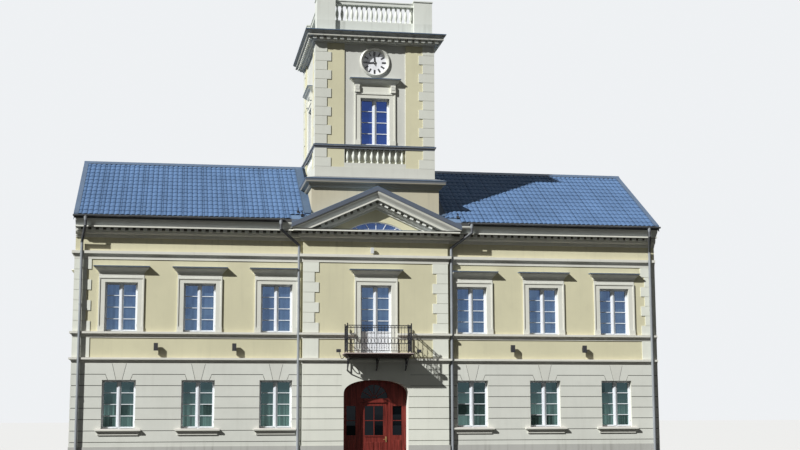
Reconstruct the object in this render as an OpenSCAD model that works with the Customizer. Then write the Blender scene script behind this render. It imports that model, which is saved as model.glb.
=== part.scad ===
/* [Building] */
// Length of the building along its front
building_l = 23430; // [22000:10:26000]
// Depth of the building between its outer wall faces
building_d = 8700; // [7900:10:10000]
// Thickness of the outer walls
wall_t = 560; // [420:10:620]
// Width of the projecting centre bay
bay_w = 5840; // [5700:10:6200]
// How far the centre bay stands in front of the wings
bay_out = 165; // [120:5:300]
// Height of the plinth
plinth_h = 960; // [600:10:1050]
// How far the plinth stands out from the walls
plinth_out = 45; // [20:5:80]

/* [Floors] */
// Top of the ground floor above the ground
ground_floor_z = 150; // [60:10:300]
// Top of the upper floor
upper_floor_z = 4540; // [4450:10:4650]
// Top of the attic floor
attic_floor_z = 8900; // [8750:10:9000]
// Thickness of each floor
floor_t = 300; // [200:10:360]

/* [Roof] */
// Height of the ridge
ridge_z = 12710; // [12300:10:13000]
// Height of the roof at its eaves
eave_z = 9800; // [9720:10:9900]
// Thickness of the roof, measured straight up
roof_t = 140; // [80:5:200]
// How far the roof runs past the end walls
verge_out = 60; // [40:10:200]
// Radius of the gutters
gutter_r = 70; // [50:1:90]
// Radius of the downpipes
pipe_r = 55; // [35:1:65]

/* [Belts and cornice] */
// Bottom of the belt between the storeys
lower_belt_z = 4120; // [4050:10:4180]
// Height of the belt between the storeys
lower_belt_h = 230; // [160:5:260]
// Bottom of the sill belt
sill_belt_z = 5110; // [5050:10:5150]
// Height of the sill belt
sill_belt_h = 240; // [160:5:250]
// Bottom of the belt under the frieze
top_belt_z = 8140; // [8120:10:8200]
// Height of the belt under the frieze
top_belt_h = 330; // [240:5:380]
// How far the belts stand out
belt_out = 130; // [80:5:150]
// Bottom of the main cornice
cornice_z = 8980; // [8900:10:9050]
// How far the main cornice stands out
cornice_out = 500; // [420:10:560]
// Width of a dentil
dentil_w = 150; // [100:5:170]
// Distance from dentil to dentil
dentil_step = 280; // [240:5:340]

/* [Windows] */
// Distance from the side of the centre bay to the first window axis of a wing
bay_to_axis = 1015; // [950:5:1100]
// Distance from the last window axis of a wing to the corner
axis_to_corner = 1780; // [1700:5:1900]
// Distance of the two window axes of an end wall from its middle
end_axis = 1900; // [1600:10:2100]
// Width of a ground floor window
low_window_w = 1270; // [1000:10:1300]
// Bottom of the ground floor windows
low_window_z = 1640; // [1500:10:1700]
// Top of the ground floor windows
low_window_top = 3490; // [3300:10:3600]
// Width of an upper floor window
high_window_w = 1240; // [1000:10:1300]
// Top of the upper floor windows
high_window_top = 7250; // [7000:10:7300]
// Distance from the wall face back to the window frames
reveal = 170; // [80:5:220]
// Width of the architrave round an upper window
architrave_w = 240; // [140:5:260]
// How far an architrave stands out
architrave_out = 30; // [20:5:60]
// Height of the hood over an upper window
hood_h = 280; // [180:5:320]
// How far a hood stands out past its frieze
hood_out = 205; // [100:5:230]

/* [Entrance] */
// Half the width of the entrance arch
arch_half = 1290; // [1150:5:1320]
// Height where the entrance arch springs
arch_spring_z = 2950; // [2850:10:3050]
// Rise of the entrance arch
arch_rise = 557; // [400:5:650]
// Depth of the recess in front of the door
recess = 500; // [300:10:560]
// Thickness of the door frame
door_frame_t = 100; // [70:5:130]
// Width of the door leaf
leaf_w = 1100; // [960:5:1160]
// Top of the door leaf
leaf_top = 2620; // [2450:5:2700]
// Thickness of the door leaf
leaf_t = 60; // [45:1:70]
// Gap round the door leaf
leaf_gap = 5.5; // [5:0.5:8]
// Gap at the free edge of the leaf, wide enough for it to swing past the jamb
free_gap = 8.5; // [8:0.5:12]
// Radius of the door hinge pins
pin_r = 8; // [6:0.5:9]

/* [Balcony] */
// Width of the balcony slab
balcony_w = 2700; // [2500:10:2900]
// How far the balcony reaches out from the centre bay
balcony_out = 1020; // [800:10:1150]
// Top of the balcony slab
balcony_z = 4530; // [4480:5:4540]
// Thickness of the balcony slab
balcony_t = 180; // [120:5:200]
// Height of the balcony railing
railing_h = 1080; // [950:10:1150]

/* [Tower] */
// Width of the tower shaft
tower_w = 4880; // [4600:10:5100]
// Depth of the tower shaft
tower_d = 4950; // [4700:10:5200]
// How far the shaft stands behind the face of the wings
tower_back = 100; // [60:5:160]
// Thickness of the shaft walls
tower_wall_t = 450; // [350:10:520]
// How far the base block stands out past the shaft
base_out = 155; // [120:5:200]
// Top of the base block
base_top = 11170; // [11100:10:11250]
// Bottom of the pedestal stage
pedestal_z = 11650; // [11600:10:11700]
// Bottom of the sill ledge
ledge_z = 12820; // [12750:10:12850]
// Height of the sill ledge
ledge_h = 180; // [120:5:220]
// Bottom of the top cornice
top_cornice_z = 17200; // [17000:10:17400]
// Height of the top cornice
top_cornice_h = 450; // [400:10:520]
// How far the top cornice stands out
top_cornice_out = 457; // [380:1:480]
// Height of the parapet above the cornice
parapet_h = 1415; // [1300:5:1500]
// Width of a corner pier of the parapet
pier_w = 760; // [600:10:800]
// Radius of the clock from its centre to the outside of its rim
clock_r = 630; // [560:5:680]
// Height of the clock centre
clock_z = 16480; // [16450:5:16500]

/* [Pediment] */
// Gap between the pediment's peak and the tower's ledge above it
peak_gap = 2; // [1:1:60]
// Height of the pediment's outer ends above the shelf of the cornice
rake_foot = 237; // [220:1:250]
// Height of the pediment's metal edge
edge_h = 170; // [100:5:200]

/* [Hidden] */
$fn = 48;

half_l = building_l / 2;
half_d = building_d / 2;
bay = bay_w / 2;
bay_y = -half_d - bay_out;
far = 40000;

// The roof rises evenly from its eaves to the ridge
run = half_d + cornice_out;
function roof_top(y) = ridge_z - abs(y) * (ridge_z - eave_z) / run;
function roof_under(y) = roof_top(y) - roof_t;

// The tower, with its base block and the hollow that runs up through it
tw = tower_w / 2;
tower_y0 = -half_d + tower_back;
tower_y1 = tower_y0 + tower_d;
base_y0 = tower_y0 - base_out;
base_y1 = tower_y1 + base_out;
tower_mid = (tower_y0 + tower_y1) / 2;
void_x = tw - tower_wall_t;
void_y0 = tower_y0 + tower_wall_t;
void_y1 = tower_y1 - tower_wall_t;

// The pediment's slopes, measured straight up from a height on the centre line
ped_half = bay + cornice_out;
fillet_h = 60;
dentil_h = 110;
crown_h = 260;
shelf_z = roof_under(run) - crown_h;
cornice_bed = shelf_z - fillet_h - dentil_h;
peak_z = base_top - peak_gap;
slope = (peak_z - shelf_z - rake_foot) / ped_half;
pitch = atan(slope);
function rake(x, drop) = peak_z - abs(x) * slope - drop;

// Three window axes in a wing, spread evenly
first_axis = bay + bay_to_axis;
axis_step = (half_l - axis_to_corner - first_axis) / 2;
wing_axes = [for (i = [0:2]) first_axis + i * axis_step];
front_axes = concat(wing_axes, [for (a = wing_axes) -a]);
back_axes = concat([0], front_axes);
high_window_z = sill_belt_z + sill_belt_h;
frame_t = 70;
frame_w = 45;
mullion_w = 105;
glass_t = 10;

white = [0.86, 0.86, 0.82];
yellow = [0.80, 0.76, 0.60];
grey_metal = [0.42, 0.45, 0.50];
blue_roof = [0.33, 0.40, 0.50];
brown = [0.42, 0.12, 0.10];
iron = [0.12, 0.12, 0.14];

// Curved stretches of moulding between two points of a profile
function cyma(a, b, n = 5) =
    [for (i = [0:n]) let (t = i / n) [a.x + (b.x - a.x) * t * t * (3 - 2 * t), a.y + (b.y - a.y) * t]];
function ovolo(a, b, n = 4) =
    [for (i = [0:n]) let (t = 90 * i / n) [a.x + (b.x - a.x) * sin(t), a.y + (b.y - a.y) * (1 - cos(t))]];
function cavetto(a, b, n = 4) =
    [for (i = [0:n]) let (t = 90 * i / n) [a.x + (b.x - a.x) * (1 - cos(t)), a.y + (b.y - a.y) * sin(t)]];
function flip(p) = [for (i = [len(p) - 1:-1:0]) p[i]];

// A belt: a deep hollow over a thin fillet, under a flat band with a weathered top
function belt_profile(z, h, out) = concat([[0, z], [out * 0.22, z]],
    cavetto([out * 0.22, z + h * 0.12], [out * 0.88, z + h * 0.64]),
    [[out, z + h * 0.64], [out, z + h * 0.96], [0, z + h]]);

// The lower part of a cornice: two flat bands, a quarter round and the band behind the dentils
function bed_profile(z, top, out) = let (h = top - z) concat(
    [[0, z], [out * 0.1, z], [out * 0.1, z + h * 0.24], [out * 0.18, z + h * 0.24]],
    [[out * 0.18, z + h * 0.5]],
    ovolo([out * 0.2, z + h * 0.5], [out * 0.44, z + h]),
    [[out * 0.44, top + dentil_h], [out * 0.87, top + dentil_h], [out * 0.87, top + dentil_h + fillet_h]]);

// The full cornice profile up to the underside of the roof
function eaves_profile() = concat(bed_profile(cornice_z, cornice_bed, cornice_out),
    cyma([cornice_out * 0.66, shelf_z], [cornice_out, shelf_z + crown_h - 30]),
    [[cornice_out, roof_under(run)], [0, roof_under(half_d)]]);

// The same cornice under the pediment, which stops at its shelf
function shelf_profile() = concat(bed_profile(cornice_z, cornice_bed, cornice_out), [[0, shelf_z + 50]]);

function crown_profile(z, h, out) = let (crown = h * 0.42, top = z + h) concat(
    [[0, z], [out * 0.14, z], [out * 0.14, z + h * 0.1]],
    ovolo([out * 0.18, z + h * 0.1], [out * 0.4, z + h * 0.22]),
    [[out * 0.4, top - crown - 50], [out * 0.8, top - crown - 50], [out * 0.8, top - crown]],
    cyma([out * 0.6, top - crown], [out, top - 25]),
    [[out, top], [0, top + 90]]);

// A moulding that runs along X on a face that looks to the front
module run_front(p, x0, x1, y) {
    translate([x0, y, 0]) rotate([90, 0, 90]) linear_extrude(x1 - x0) polygon([for (q = p) [-q.x, q.y]]);
}

// A moulding that runs along X on a face that looks to the back
module run_back(p, x0, x1, y) {
    translate([x0, y, 0]) rotate([90, 0, 90]) linear_extrude(x1 - x0) polygon(p);
}

// A block with the same moulding mitred round it; open_back leaves the side at y1 plain
module moulded_block(p, x_half, y0, y1, open_back = false) {
    back = open_back ? [[y1, p[len(p) - 1].y], [y1, p[0].y]] : [for (q = flip(p)) [y1 + q.x, q.y]];
    intersection() {
        translate([-far / 2, 0, 0]) rotate([90, 0, 90]) linear_extrude(far)
            polygon(concat([for (q = p) [y0 - q.x, q.y]], back));
        translate([0, far / 2, 0]) rotate([90, 0, 0]) linear_extrude(far)
            polygon(concat([for (q = p) [x_half + q.x, q.y]], [for (q = flip(p)) [-x_half - q.x, q.y]]));
    }
}

module block(x0, x1, y0, y1, z0, z1) {
    translate([x0, y0, z0]) cube([x1 - x0, y1 - y0, z1 - z0]);
}

module both_sides() {
    children();
    mirror([1, 0, 0]) children();
}

// Everything below the roof's underside, or below its top with lift = roof_t
module under_roof(x0, x1, lift = 0) {
    y = run;
    translate([x0, 0, 0]) rotate([90, 0, 90]) linear_extrude(x1 - x0) polygon([[-y, -10],
        [-y, roof_under(y) + lift], [0, roof_under(0) + lift], [y, roof_under(y) + lift], [y, -10]]);
}

// Everything below the pediment's top, lowered by drop, between two places on Y
module under_pediment(drop, half, y0, y1, floor_z) {
    translate([0, y1, 0]) rotate([90, 0, 0]) linear_extrude(y1 - y0)
        polygon([[-half, floor_z], [-half, rake(half, drop)], [0, rake(0, drop)], [half, rake(half, drop)],
            [half, floor_z]]);
}

// The hollow of the tower between two heights
module tower_void(z0, z1) { block(-void_x, void_x, void_y0, void_y1, z0, z1); }

// Window holes of both storeys in a wall along X, cut from y0 to y1
module window_holes(axes, y0, y1) {
    for (a = axes) {
        block(a - low_window_w / 2, a + low_window_w / 2, y0, y1, low_window_z, low_window_top);
        block(a - high_window_w / 2, a + high_window_w / 2, y0, y1, high_window_z, high_window_top);
    }
}

// The same holes in the left end wall
module end_window_holes() {
    for (a = [-end_axis, end_axis]) {
        block(-far, 0, a - low_window_w / 2, a + low_window_w / 2, low_window_z, low_window_top);
        block(-far, 0, a - high_window_w / 2, a + high_window_w / 2, high_window_z, high_window_top);
    }
}

module plinth() {
    color([0.68, 0.67, 0.63]) {
        difference() {
            block(-half_l - plinth_out, -arch_half, bay_y - plinth_out, half_d + plinth_out, 0, plinth_h);
            block(-half_l, far, -half_d, half_d, -1, plinth_h + 1);
            block(-far, -bay - plinth_out, -far, -half_d - plinth_out, -1, plinth_h + 1);
            block(-bay, far, bay_y, half_d, -1, plinth_h + 1);
        }
        difference() {
            block(arch_half, half_l, bay_y - plinth_out, -half_d, 0, plinth_h);
            block(bay + plinth_out, far, -far, -half_d - plinth_out, -1, plinth_h + 1);
            block(-far, bay, bay_y, far, -1, plinth_h + 1);
        }
        block(-arch_half, half_l, half_d, half_d + plinth_out, 0, plinth_h);
    }
}

module front_wings() {
    color(yellow) both_sides() intersection() {
        difference() {
            block(bay, half_l, -half_d, -half_d + wall_t, 0, ridge_z);
            window_holes(wing_axes, -far, far);
        }
        under_roof(0, far);
    }
}

module entrance_piers() {
    color(white) both_sides() block(arch_half, bay, bay_y, -half_d + wall_t, 0, arch_spring_z);
}

// The flat-topped arch: an ellipse from springing to springing
module arch_outline(half, spring, rise, floor_z) {
    n = 24;
    curve = [for (i = [0:n]) let (t = 180 * i / n)
        [half * sign(cos(t)) * pow(abs(cos(t)), 0.86), spring + rise * pow(sin(t), 0.86)]];
    polygon(concat([[half, floor_z]], curve, [[-half, floor_z]]));
}

module entrance_arch() {
    color(white) difference() {
        block(-bay, bay, bay_y, -half_d + wall_t, arch_spring_z, lower_belt_z);
        translate([0, far / 2, 0]) rotate([90, 0, 0]) linear_extrude(far)
            arch_outline(arch_half, arch_spring_z, arch_rise, 0);
    }
}

module centre_wall() {
    color(yellow) {
        difference() {
            block(-bay, bay, bay_y, -half_d + wall_t, lower_belt_z, shelf_z);
            block(-high_window_w / 2, high_window_w / 2, -far, far, balcony_z, high_window_top);
        }
        both_sides() intersection() {
            block(tw + base_out, bay, -half_d, -half_d + wall_t, shelf_z, far);
            under_roof(0, bay);
        }
    }
}

module back_wall() {
    color(yellow) intersection() {
        difference() {
            block(-half_l, half_l, half_d - wall_t, half_d, 0, ridge_z);
            window_holes(back_axes, -far, far);
        }
        under_roof(-far, far);
    }
}

module end_walls() {
    color(yellow) intersection() {
        difference() {
            both_sides() block(half_l - wall_t, half_l, -half_d + wall_t, half_d - wall_t, 0, ridge_z);
            end_window_holes();
        }
        under_roof(-far, far);
    }
}

module floors() {
    x = half_l - wall_t;
    y = half_d - wall_t;
    color([0.6, 0.58, 0.55]) {
        block(-x, x, -y, y, 0, ground_floor_z);
        block(-arch_half, arch_half, bay_y, -y, 0, ground_floor_z);
        for (z = [upper_floor_z, attic_floor_z]) block(-x, x, -y, y, z - floor_t, z);
        tower_void(pedestal_z + 100, pedestal_z + 100 + floor_t);
    }
}

facing_t = 30;
groove_h = 24;
groove_d = 18;
first_groove = plinth_h + 174;
groove_step = 428.7;
grooves = [for (i = [0:6]) first_groove + i * groove_step];
keystone_bottom = 215;
keystone_top = 520;
joint_top = 525;
joint_foot = 440;
plain_half = 1370;

// The face of a keystone, widened by grow on both sides
module keystone_outline(grow = 0) {
    polygon([[-keystone_bottom / 2 - grow, low_window_top], [keystone_bottom / 2 + grow, low_window_top],
        [keystone_top / 2 + grow, lower_belt_z], [-keystone_top / 2 - grow, lower_belt_z]]);
}

// The stones of the flat arch over a window, from the window's top to the uppermost groove
module flat_arch_outline(inset = 0) {
    z = grooves[6] + groove_h / 2 - inset;
    polygon([[-joint_top + inset, z], [-joint_foot + inset, low_window_top - 1],
        [joint_foot - inset, low_window_top - 1], [joint_top - inset, z]]);
}

// A flat facing panel in front of y with level grooves; the heads of the windows stay plain
module grooved_panel(x0, x1, y, axes) {
    head_z = grooves[6];
    half = low_window_w / 2;
    difference() {
        block(x0, x1, y - facing_t, y, plinth_h, lower_belt_z);
        for (a = axes) block(a - half, a + half, -far, far, low_window_z, low_window_top);
        for (i = [0:5]) block(x0 - 1, x1 + 1, y - facing_t - 1, y - facing_t + groove_d,
            grooves[i] - groove_h / 2, grooves[i] + groove_h / 2);
        translate([0, y - facing_t + groove_d, 0]) rotate([90, 0, 0]) linear_extrude(facing_t) {
            difference() {
                union() {
                    translate([x0 - 1, head_z - groove_h / 2]) square([x1 - x0 + 2, groove_h]);
                    for (a = axes) translate([a, 0]) flat_arch_outline();
                }
                for (a = axes) translate([a, 0]) flat_arch_outline(groove_h);
                for (a = axes) translate([a - joint_top + groove_h, head_z - groove_h])
                    square([2 * (joint_top - groove_h), 2 * groove_h]);
            }
            for (a = axes) translate([a, 0]) difference() {
                keystone_outline(groove_h * 0.7);
                keystone_outline();
            }
        }
    }
}

module rustication_wings() {
    color(white) {
        both_sides() grooved_panel(bay, half_l, -half_d, wing_axes);
        mirror([0, 1, 0]) grooved_panel(-half_l, half_l, -half_d, back_axes);
        translate([-half_l, 0, 0]) rotate([0, 0, -90])
            grooved_panel(-half_d - facing_t, half_d + facing_t, 0, [-end_axis, end_axis]);
    }
}

module rustication_centre() {
    color(white) difference() {
        union() {
            grooved_panel(-bay, bay, bay_y, []);
            block(-plain_half, plain_half, bay_y - facing_t, bay_y, arch_spring_z, lower_belt_z);
        }
        translate([0, far / 2, 0]) rotate([90, 0, 0]) linear_extrude(far)
            arch_outline(arch_half, arch_spring_z, arch_rise, 0);
    }
}

// The places of the downpipes: in the corners of the centre bay and near the ends
pipe_out = architrave_out + pipe_r + 45;
corner_pipe_x = bay + pipe_r + 102;
end_pipe_x = half_l - 245;
pipe_side = corner_pipe_x + pipe_r + 10;

// Square holes round the downpipes
module pipe_slots(z0, z1) {
    r = pipe_r + 8;
    both_sides() {
        for (x = [corner_pipe_x, end_pipe_x])
            block(x - r, x + r, -half_d - pipe_out - r, -half_d - pipe_out + r, z0, z1);
        block(end_pipe_x - r, end_pipe_x + r, half_d + pipe_out - r, half_d + pipe_out + r, z0, z1);
    }
}

// A belt runs along the front, the left end and the back, and round the centre bay
module belt(z, h, gap = 0) {
    p = belt_profile(z, h, belt_out);
    difference() {
        union() {
            difference() {
                moulded_block(p, half_l, -half_d, half_d);
                block(-half_l, far, -half_d, half_d, z - 1, z + h + 1);
                block(half_l, far, -far, far, z - 1, z + h + 1);
            }
            difference() {
                moulded_block(p, bay, bay_y, -half_d, true);
                block(-bay, bay, bay_y, far, z - 1, z + h + 1);
            }
        }
        if (gap > 0) block(-gap, gap, -far, 0, z - 1, z + h + 1);
        block(-bay, bay, bay_y, 0, z - 1, z + h + 1);
        pipe_slots(z - 1, z + h + 1);
    }
}

module belts() {
    color(white) {
        belt(lower_belt_z, lower_belt_h);
        belt(sill_belt_z, sill_belt_h, high_window_w / 2 + architrave_w);
        belt(top_belt_z, top_belt_h);
    }
}

module main_cornice() {
    color(white) {
        difference() {
            both_sides() run_front(eaves_profile(), bay, half_l, -half_d);
            block(-ped_half, ped_half, -far, far, shelf_z - 1, far);
            block(-bay, bay, -far, far, -1, far);
        }
        difference() {
            moulded_block(shelf_profile(), bay, bay_y, -half_d, true);
            block(-bay, bay, bay_y, far, -1, far);
        }
        run_back(eaves_profile(), -half_l, half_l, half_d);
    }
}

// A row of dentils along X between two ends, in front of y
module dentil_row(x0, x1, y, z, h, out) {
    n = floor((x1 - x0 - dentil_w) / dentil_step);
    start = (x0 + x1) / 2 - n * dentil_step / 2;
    for (i = [0:n]) block(start + i * dentil_step - dentil_w / 2, start + i * dentil_step + dentil_w / 2,
        y - out, y, z - h, z);
}

module tower_dentils() {
    top = top_cornice_z + top_cornice_h * 0.58 - 50;
    low = top_cornice_z + top_cornice_h * 0.22;
    out = top_cornice_out * 0.4;
    reach = top_cornice_out * 0.24;
    dentil_row(-tw - out, tw + out, tower_y0 - out, top, top - low, reach);
    translate([0, 2 * tower_mid, 0]) mirror([0, 1, 0])
        dentil_row(-tw - out, tw + out, tower_y0 - out, top, top - low, reach);
    both_sides() translate([0, tower_mid, 0]) rotate([0, 0, 90])
        dentil_row(-tower_d / 2 - out, tower_d / 2 + out, -tw - out, top, top - low, reach);
}

module dentils() {
    y = cornice_out * 0.44;
    top = shelf_z - fillet_h;
    reach = cornice_out * 0.22;
    color(white) {
        both_sides() dentil_row(bay + cornice_out * 0.9, half_l, -half_d - y, top, dentil_h, reach);
        dentil_row(-bay - y, bay + y, bay_y - y, top, dentil_h, reach);
        both_sides() raking_dentils();
        tower_dentils();
    }
}

// Layers of the raking cornice, measured down from the pediment's top
rake_crown = 430;
rake_fillet = 490;
rake_dentil = 610;
rake_bed = 790;
rake_band = 80;
roof_gap = 0.3;

module tympanum() {
    color(yellow) difference() {
        under_pediment(edge_h + roof_gap, bay, bay_y, base_y0, shelf_z);
        translate([0, far / 2, 0]) rotate([90, 0, 0]) linear_extrude(far) lunette_outline();
    }
}

lunette_z = shelf_z + 60;
lunette_half = 1110;
lunette_rise = 340;
lunette_back = 30;
lunette_frame_t = 40;
lunette_frame_w = 40;

module lunette_outline() {
    r = (lunette_half * lunette_half + lunette_rise * lunette_rise) / (2 * lunette_rise);
    intersection() {
        translate([0, lunette_z + lunette_rise - r]) circle(r, $fn = 180);
        translate([-lunette_half, lunette_z]) square([2 * lunette_half, lunette_rise]);
    }
}

// One slope of the raking cornice, drawn lying along +X and then tilted down
module raking_run() {
    length = ped_half / cos(pitch) + rake_bed;
    out = cornice_out;
    top = -edge_h * cos(pitch) - roof_gap;
    p = concat([[0, -rake_bed], [out * 0.12, -rake_bed], [out * 0.12, -rake_bed + rake_band]],
        ovolo([out * 0.18, -rake_bed + rake_band], [out * 0.44, -rake_dentil]),
        [[out * 0.44, -rake_fillet], [out * 0.87, -rake_fillet], [out * 0.87, -rake_crown]],
        cyma([out * 0.64, -rake_crown], [out * 0.95, top - 30]), [[out * 0.95, top], [0, top]]);
    at_rake() translate([-rake_bed, 0, 0]) rotate([90, 0, 90]) linear_extrude(length + rake_bed)
        polygon([for (q = p) [-q.x, q.y]]);
}

// Copies children to the pediment's peak, tilted so that +X runs down its right slope
module at_rake() { translate([0, bay_y, peak_z]) rotate([0, pitch, 0]) children(); }

// The dentils under the raking cornice, down to where they meet the shelf
module raking_dentils() {
    start = rake_dentil * tan(pitch) + dentil_w / 4;
    end = (peak_z - shelf_z - 52 - rake_dentil * cos(pitch)) / sin(pitch) - dentil_w;
    n = floor((end - start) / dentil_step);
    at_rake() for (i = [0:n]) block(start + i * dentil_step, start + i * dentil_step + dentil_w,
        -cornice_out * 0.66, -cornice_out * 0.44, -rake_dentil, -rake_fillet);
}

module raking_cornice() {
    color(white) both_sides() intersection() {
        raking_run();
        block(0, ped_half, -far, far, shelf_z + 52, far);
    }
}

module pediment_roof() {
    y0 = bay_y - cornice_out;
    color(blue_roof) difference() {
        union() {
            difference() {
                under_pediment(0, ped_half, y0, base_y0, 0);
                under_pediment(edge_h, ped_half + 1, y0 - 1, base_y0 + 1, -1);
            }
            difference() {
                intersection() {
                    under_roof(-ped_half, ped_half, roof_t);
                    block(-ped_half, ped_half, -run, base_y0, 0, far);
                }
                under_roof(-far, far);
                under_pediment(edge_h, ped_half + 1, y0 - 1, base_y0 + 1, -1);
            }
        }
    }
}

quoin_long = 630;
quoin_short = 460;
quoin_out = 25;
quoin_joint = 12;

// Corner blocks that wrap a corner at the origin; the wall fills +X and +Y from it
module quoin_stack(z0, z1, step, first) {
    n = floor((z1 - z0 + 1) / step);
    h = (z1 - z0) / n;
    for (i = [0:n - 1]) {
        a = (i + first) % 2 == 0 ? quoin_long : quoin_short;
        b = (i + first) % 2 == 0 ? quoin_short : quoin_long;
        translate([0, 0, z0 + i * h + quoin_joint / 2]) linear_extrude(h - quoin_joint)
            polygon([[-quoin_out, -quoin_out], [a, -quoin_out], [a, 0], [0, 0], [0, b], [-quoin_out, b]]);
    }
}

// Corner blocks with a face only to the front
module flat_quoins(z0, z1, step, first) {
    n = floor((z1 - z0 + 1) / step);
    h = (z1 - z0) / n;
    for (i = [0:n - 1]) {
        a = (i + first) % 2 == 0 ? quoin_long : quoin_short;
        block(0, a, -quoin_out, 0, z0 + i * h + quoin_joint / 2, z0 + (i + 1) * h - quoin_joint / 2);
    }
}

wall_quoin_h = 390;
tower_quoin_h = 380;

module wall_quoins() {
    spans = [[lower_belt_z + lower_belt_h, sill_belt_z, 0], [high_window_z, top_belt_z, 0]];
    color(white) for (s = spans) {
        both_sides() translate([-bay, bay_y, 0]) flat_quoins(s[0], s[1], wall_quoin_h, s[2]);
        for (m = [0, 1]) mirror([0, m, 0]) {
            translate([-half_l, -half_d, 0]) quoin_stack(s[0], s[1], wall_quoin_h, s[2]);
            mirror([1, 0, 0]) translate([-half_l, -half_d, 0]) flat_quoins(s[0], s[1], wall_quoin_h, s[2]);
        }
    }
}

pedestal_foot = 410;
foot_out = 20;

module tower_quoins() {
    color(white) for (s = [[pedestal_z + pedestal_foot, ledge_z, 0], [ledge_z + ledge_h, top_cornice_z, 1]])
        both_sides() {
            translate([-tw, tower_y0, 0]) quoin_stack(s[0], s[1], tower_quoin_h, s[2]);
            translate([-tw, tower_y1, 0]) mirror([0, 1, 0]) quoin_stack(s[0], s[1], tower_quoin_h, s[2]);
        }
}

foot_h = 195;

band_h = 200;
wall_frieze_h = 165;
tower_frieze_h = 340;

// The architrave round a window whose sill is at z0, drawn in front of y = 0; console is the width of the
// blocks that carry the ends of the hood
module surround(w, z0, z1, frieze_h = wall_frieze_h, console = 0) {
    x = w / 2 + architrave_w;
    difference() {
        union() {
            if (console > 0) both_sides() block(x - console, x, -architrave_out - console * 0.4, 0,
                z1 + band_h + console * 0.15, z1 + band_h + frieze_h);
            block(-x, x, -architrave_out - 25, 0, z0 + foot_h, z1 + band_h);
            block(-x - 8, x + 8, -architrave_out - 35, 0, z0, z0 + foot_h);
            block(-x, x, -architrave_out + 15, 0, z1 + band_h, z1 + band_h + frieze_h);
        }
        block(-x + 50, x - 50, -far, -architrave_out, z0 + foot_h, z1 + band_h - 50);
        block(-w / 2, w / 2, -far, far, z0 - 1, z1);
    }
}

hood_z = high_window_top + band_h + wall_frieze_h;
tower_window_w = 1200;
tower_window_z = ledge_z + ledge_h;
tower_window_top = 14950;
panel_back = 40;
panel_t = 50;
panel_half = 1265;
console_w = 200;

// Copies children to the four faces of the tower, with the face plane at y = 0
module tower_faces() {
    translate([0, tower_y0, 0]) children();
    translate([0, tower_y1, 0]) mirror([0, 1, 0]) children();
    translate([-tw, tower_mid, 0]) rotate([0, 0, -90]) children();
    translate([tw, tower_mid, 0]) rotate([0, 0, 90]) children();
}

module window_surrounds() {
    color(white) {
        for (a = front_axes) translate([a, -half_d, 0])
            surround(high_window_w, high_window_z, high_window_top);
        translate([0, bay_y, 0]) surround(high_window_w, balcony_z, high_window_top);
        for (a = back_axes) translate([a, half_d, 0]) mirror([0, 1, 0])
            surround(high_window_w, high_window_z, high_window_top);
        end_faces() surround(high_window_w, high_window_z, high_window_top);
        tower_faces() translate([0, panel_back, 0]) surround(tower_window_w, tower_window_z, tower_window_top,
            tower_frieze_h, console_w);
    }
}

function hood_profile(z, h, out) = concat([[0, z], [out * 0.12, z], [out * 0.12, z + h * 0.12]],
    cyma([out * 0.2, z + h * 0.12], [out * 0.9, z + h * 0.8]),
    [[out, z + h * 0.8], [out, z + h * 0.92], [0, z + h]]);

module hood(w, z) {
    moulded_block(hood_profile(z, hood_h, hood_out), w / 2 + architrave_w, -architrave_out, 0, true);
}

module window_hoods() {
    color(white) {
        // A hood beside the centre bay stops short of the downpipe in the corner
        difference() {
            for (a = front_axes) translate([a, -half_d, 0]) hood(high_window_w, hood_z);
            block(-pipe_side, pipe_side, -far, 0, 0, far);
        }
        translate([0, bay_y, 0]) hood(high_window_w, hood_z);
        for (a = back_axes) translate([a, half_d, 0]) mirror([0, 1, 0]) hood(high_window_w, hood_z);
        end_faces() hood(high_window_w, hood_z);
        tower_faces() translate([0, panel_back, 0])
            hood(tower_window_w, tower_window_top + band_h + tower_frieze_h);
    }
}

sill_h = 240;
sill_out = 120;
sill_ear = 100;
sill_lift = 20;

// A sill under a ground floor window, in front of y = 0: a lip over a hollow
module sill() {
    z = low_window_z - sill_h;
    p = concat([[0, z], [sill_out * 0.2, z]],
        cavetto([sill_out * 0.2, z + sill_h * 0.08], [sill_out * 0.86, z + sill_h * 0.66]),
        [[sill_out, z + sill_h * 0.66], [sill_out, z + sill_h * 0.9], [0, low_window_z]]);
    moulded_block(p, low_window_w / 2 + sill_ear, -sill_lift, 0, true);
}

module window_sills() {
    color([0.75, 0.73, 0.68]) {
        difference() {
            for (a = front_axes) translate([a, -half_d - facing_t, 0]) sill();
            block(-pipe_side, pipe_side, -far, 0, 0, far);
        }
        for (a = back_axes) translate([a, half_d + facing_t, 0]) mirror([0, 1, 0]) sill();
        end_faces() translate([0, -facing_t, 0]) sill();
    }
}

keystone_out = 8;

module keystone() { rotate([90, 0, 0]) linear_extrude(keystone_out) keystone_outline(); }

module keystones() {
    color([0.78, 0.78, 0.75]) {
        for (a = front_axes) translate([a, -half_d - facing_t, 0]) keystone();
        for (a = back_axes) translate([a, half_d + facing_t, 0]) mirror([0, 1, 0]) keystone();
        end_faces() translate([0, -facing_t, 0]) keystone();
    }
}

// A window frame with a mullion in a hole w wide, its front at y = 0, closed below foot
module window_frame(w, z0, z1, foot = frame_w) {
    difference() {
        block(-w / 2, w / 2, 0, frame_t, z0, z1);
        both_sides() block(mullion_w / 2, w / 2 - frame_w, -1, frame_t + 1, z0 + foot, z1 - frame_w);
    }
}

// The sheet of glass behind such a frame
module pane(w, z0, z1) {
    block(-w / 2 + 20, w / 2 - 20, frame_t, frame_t + glass_t, z0 + 20, z1 - 20);
}

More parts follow.
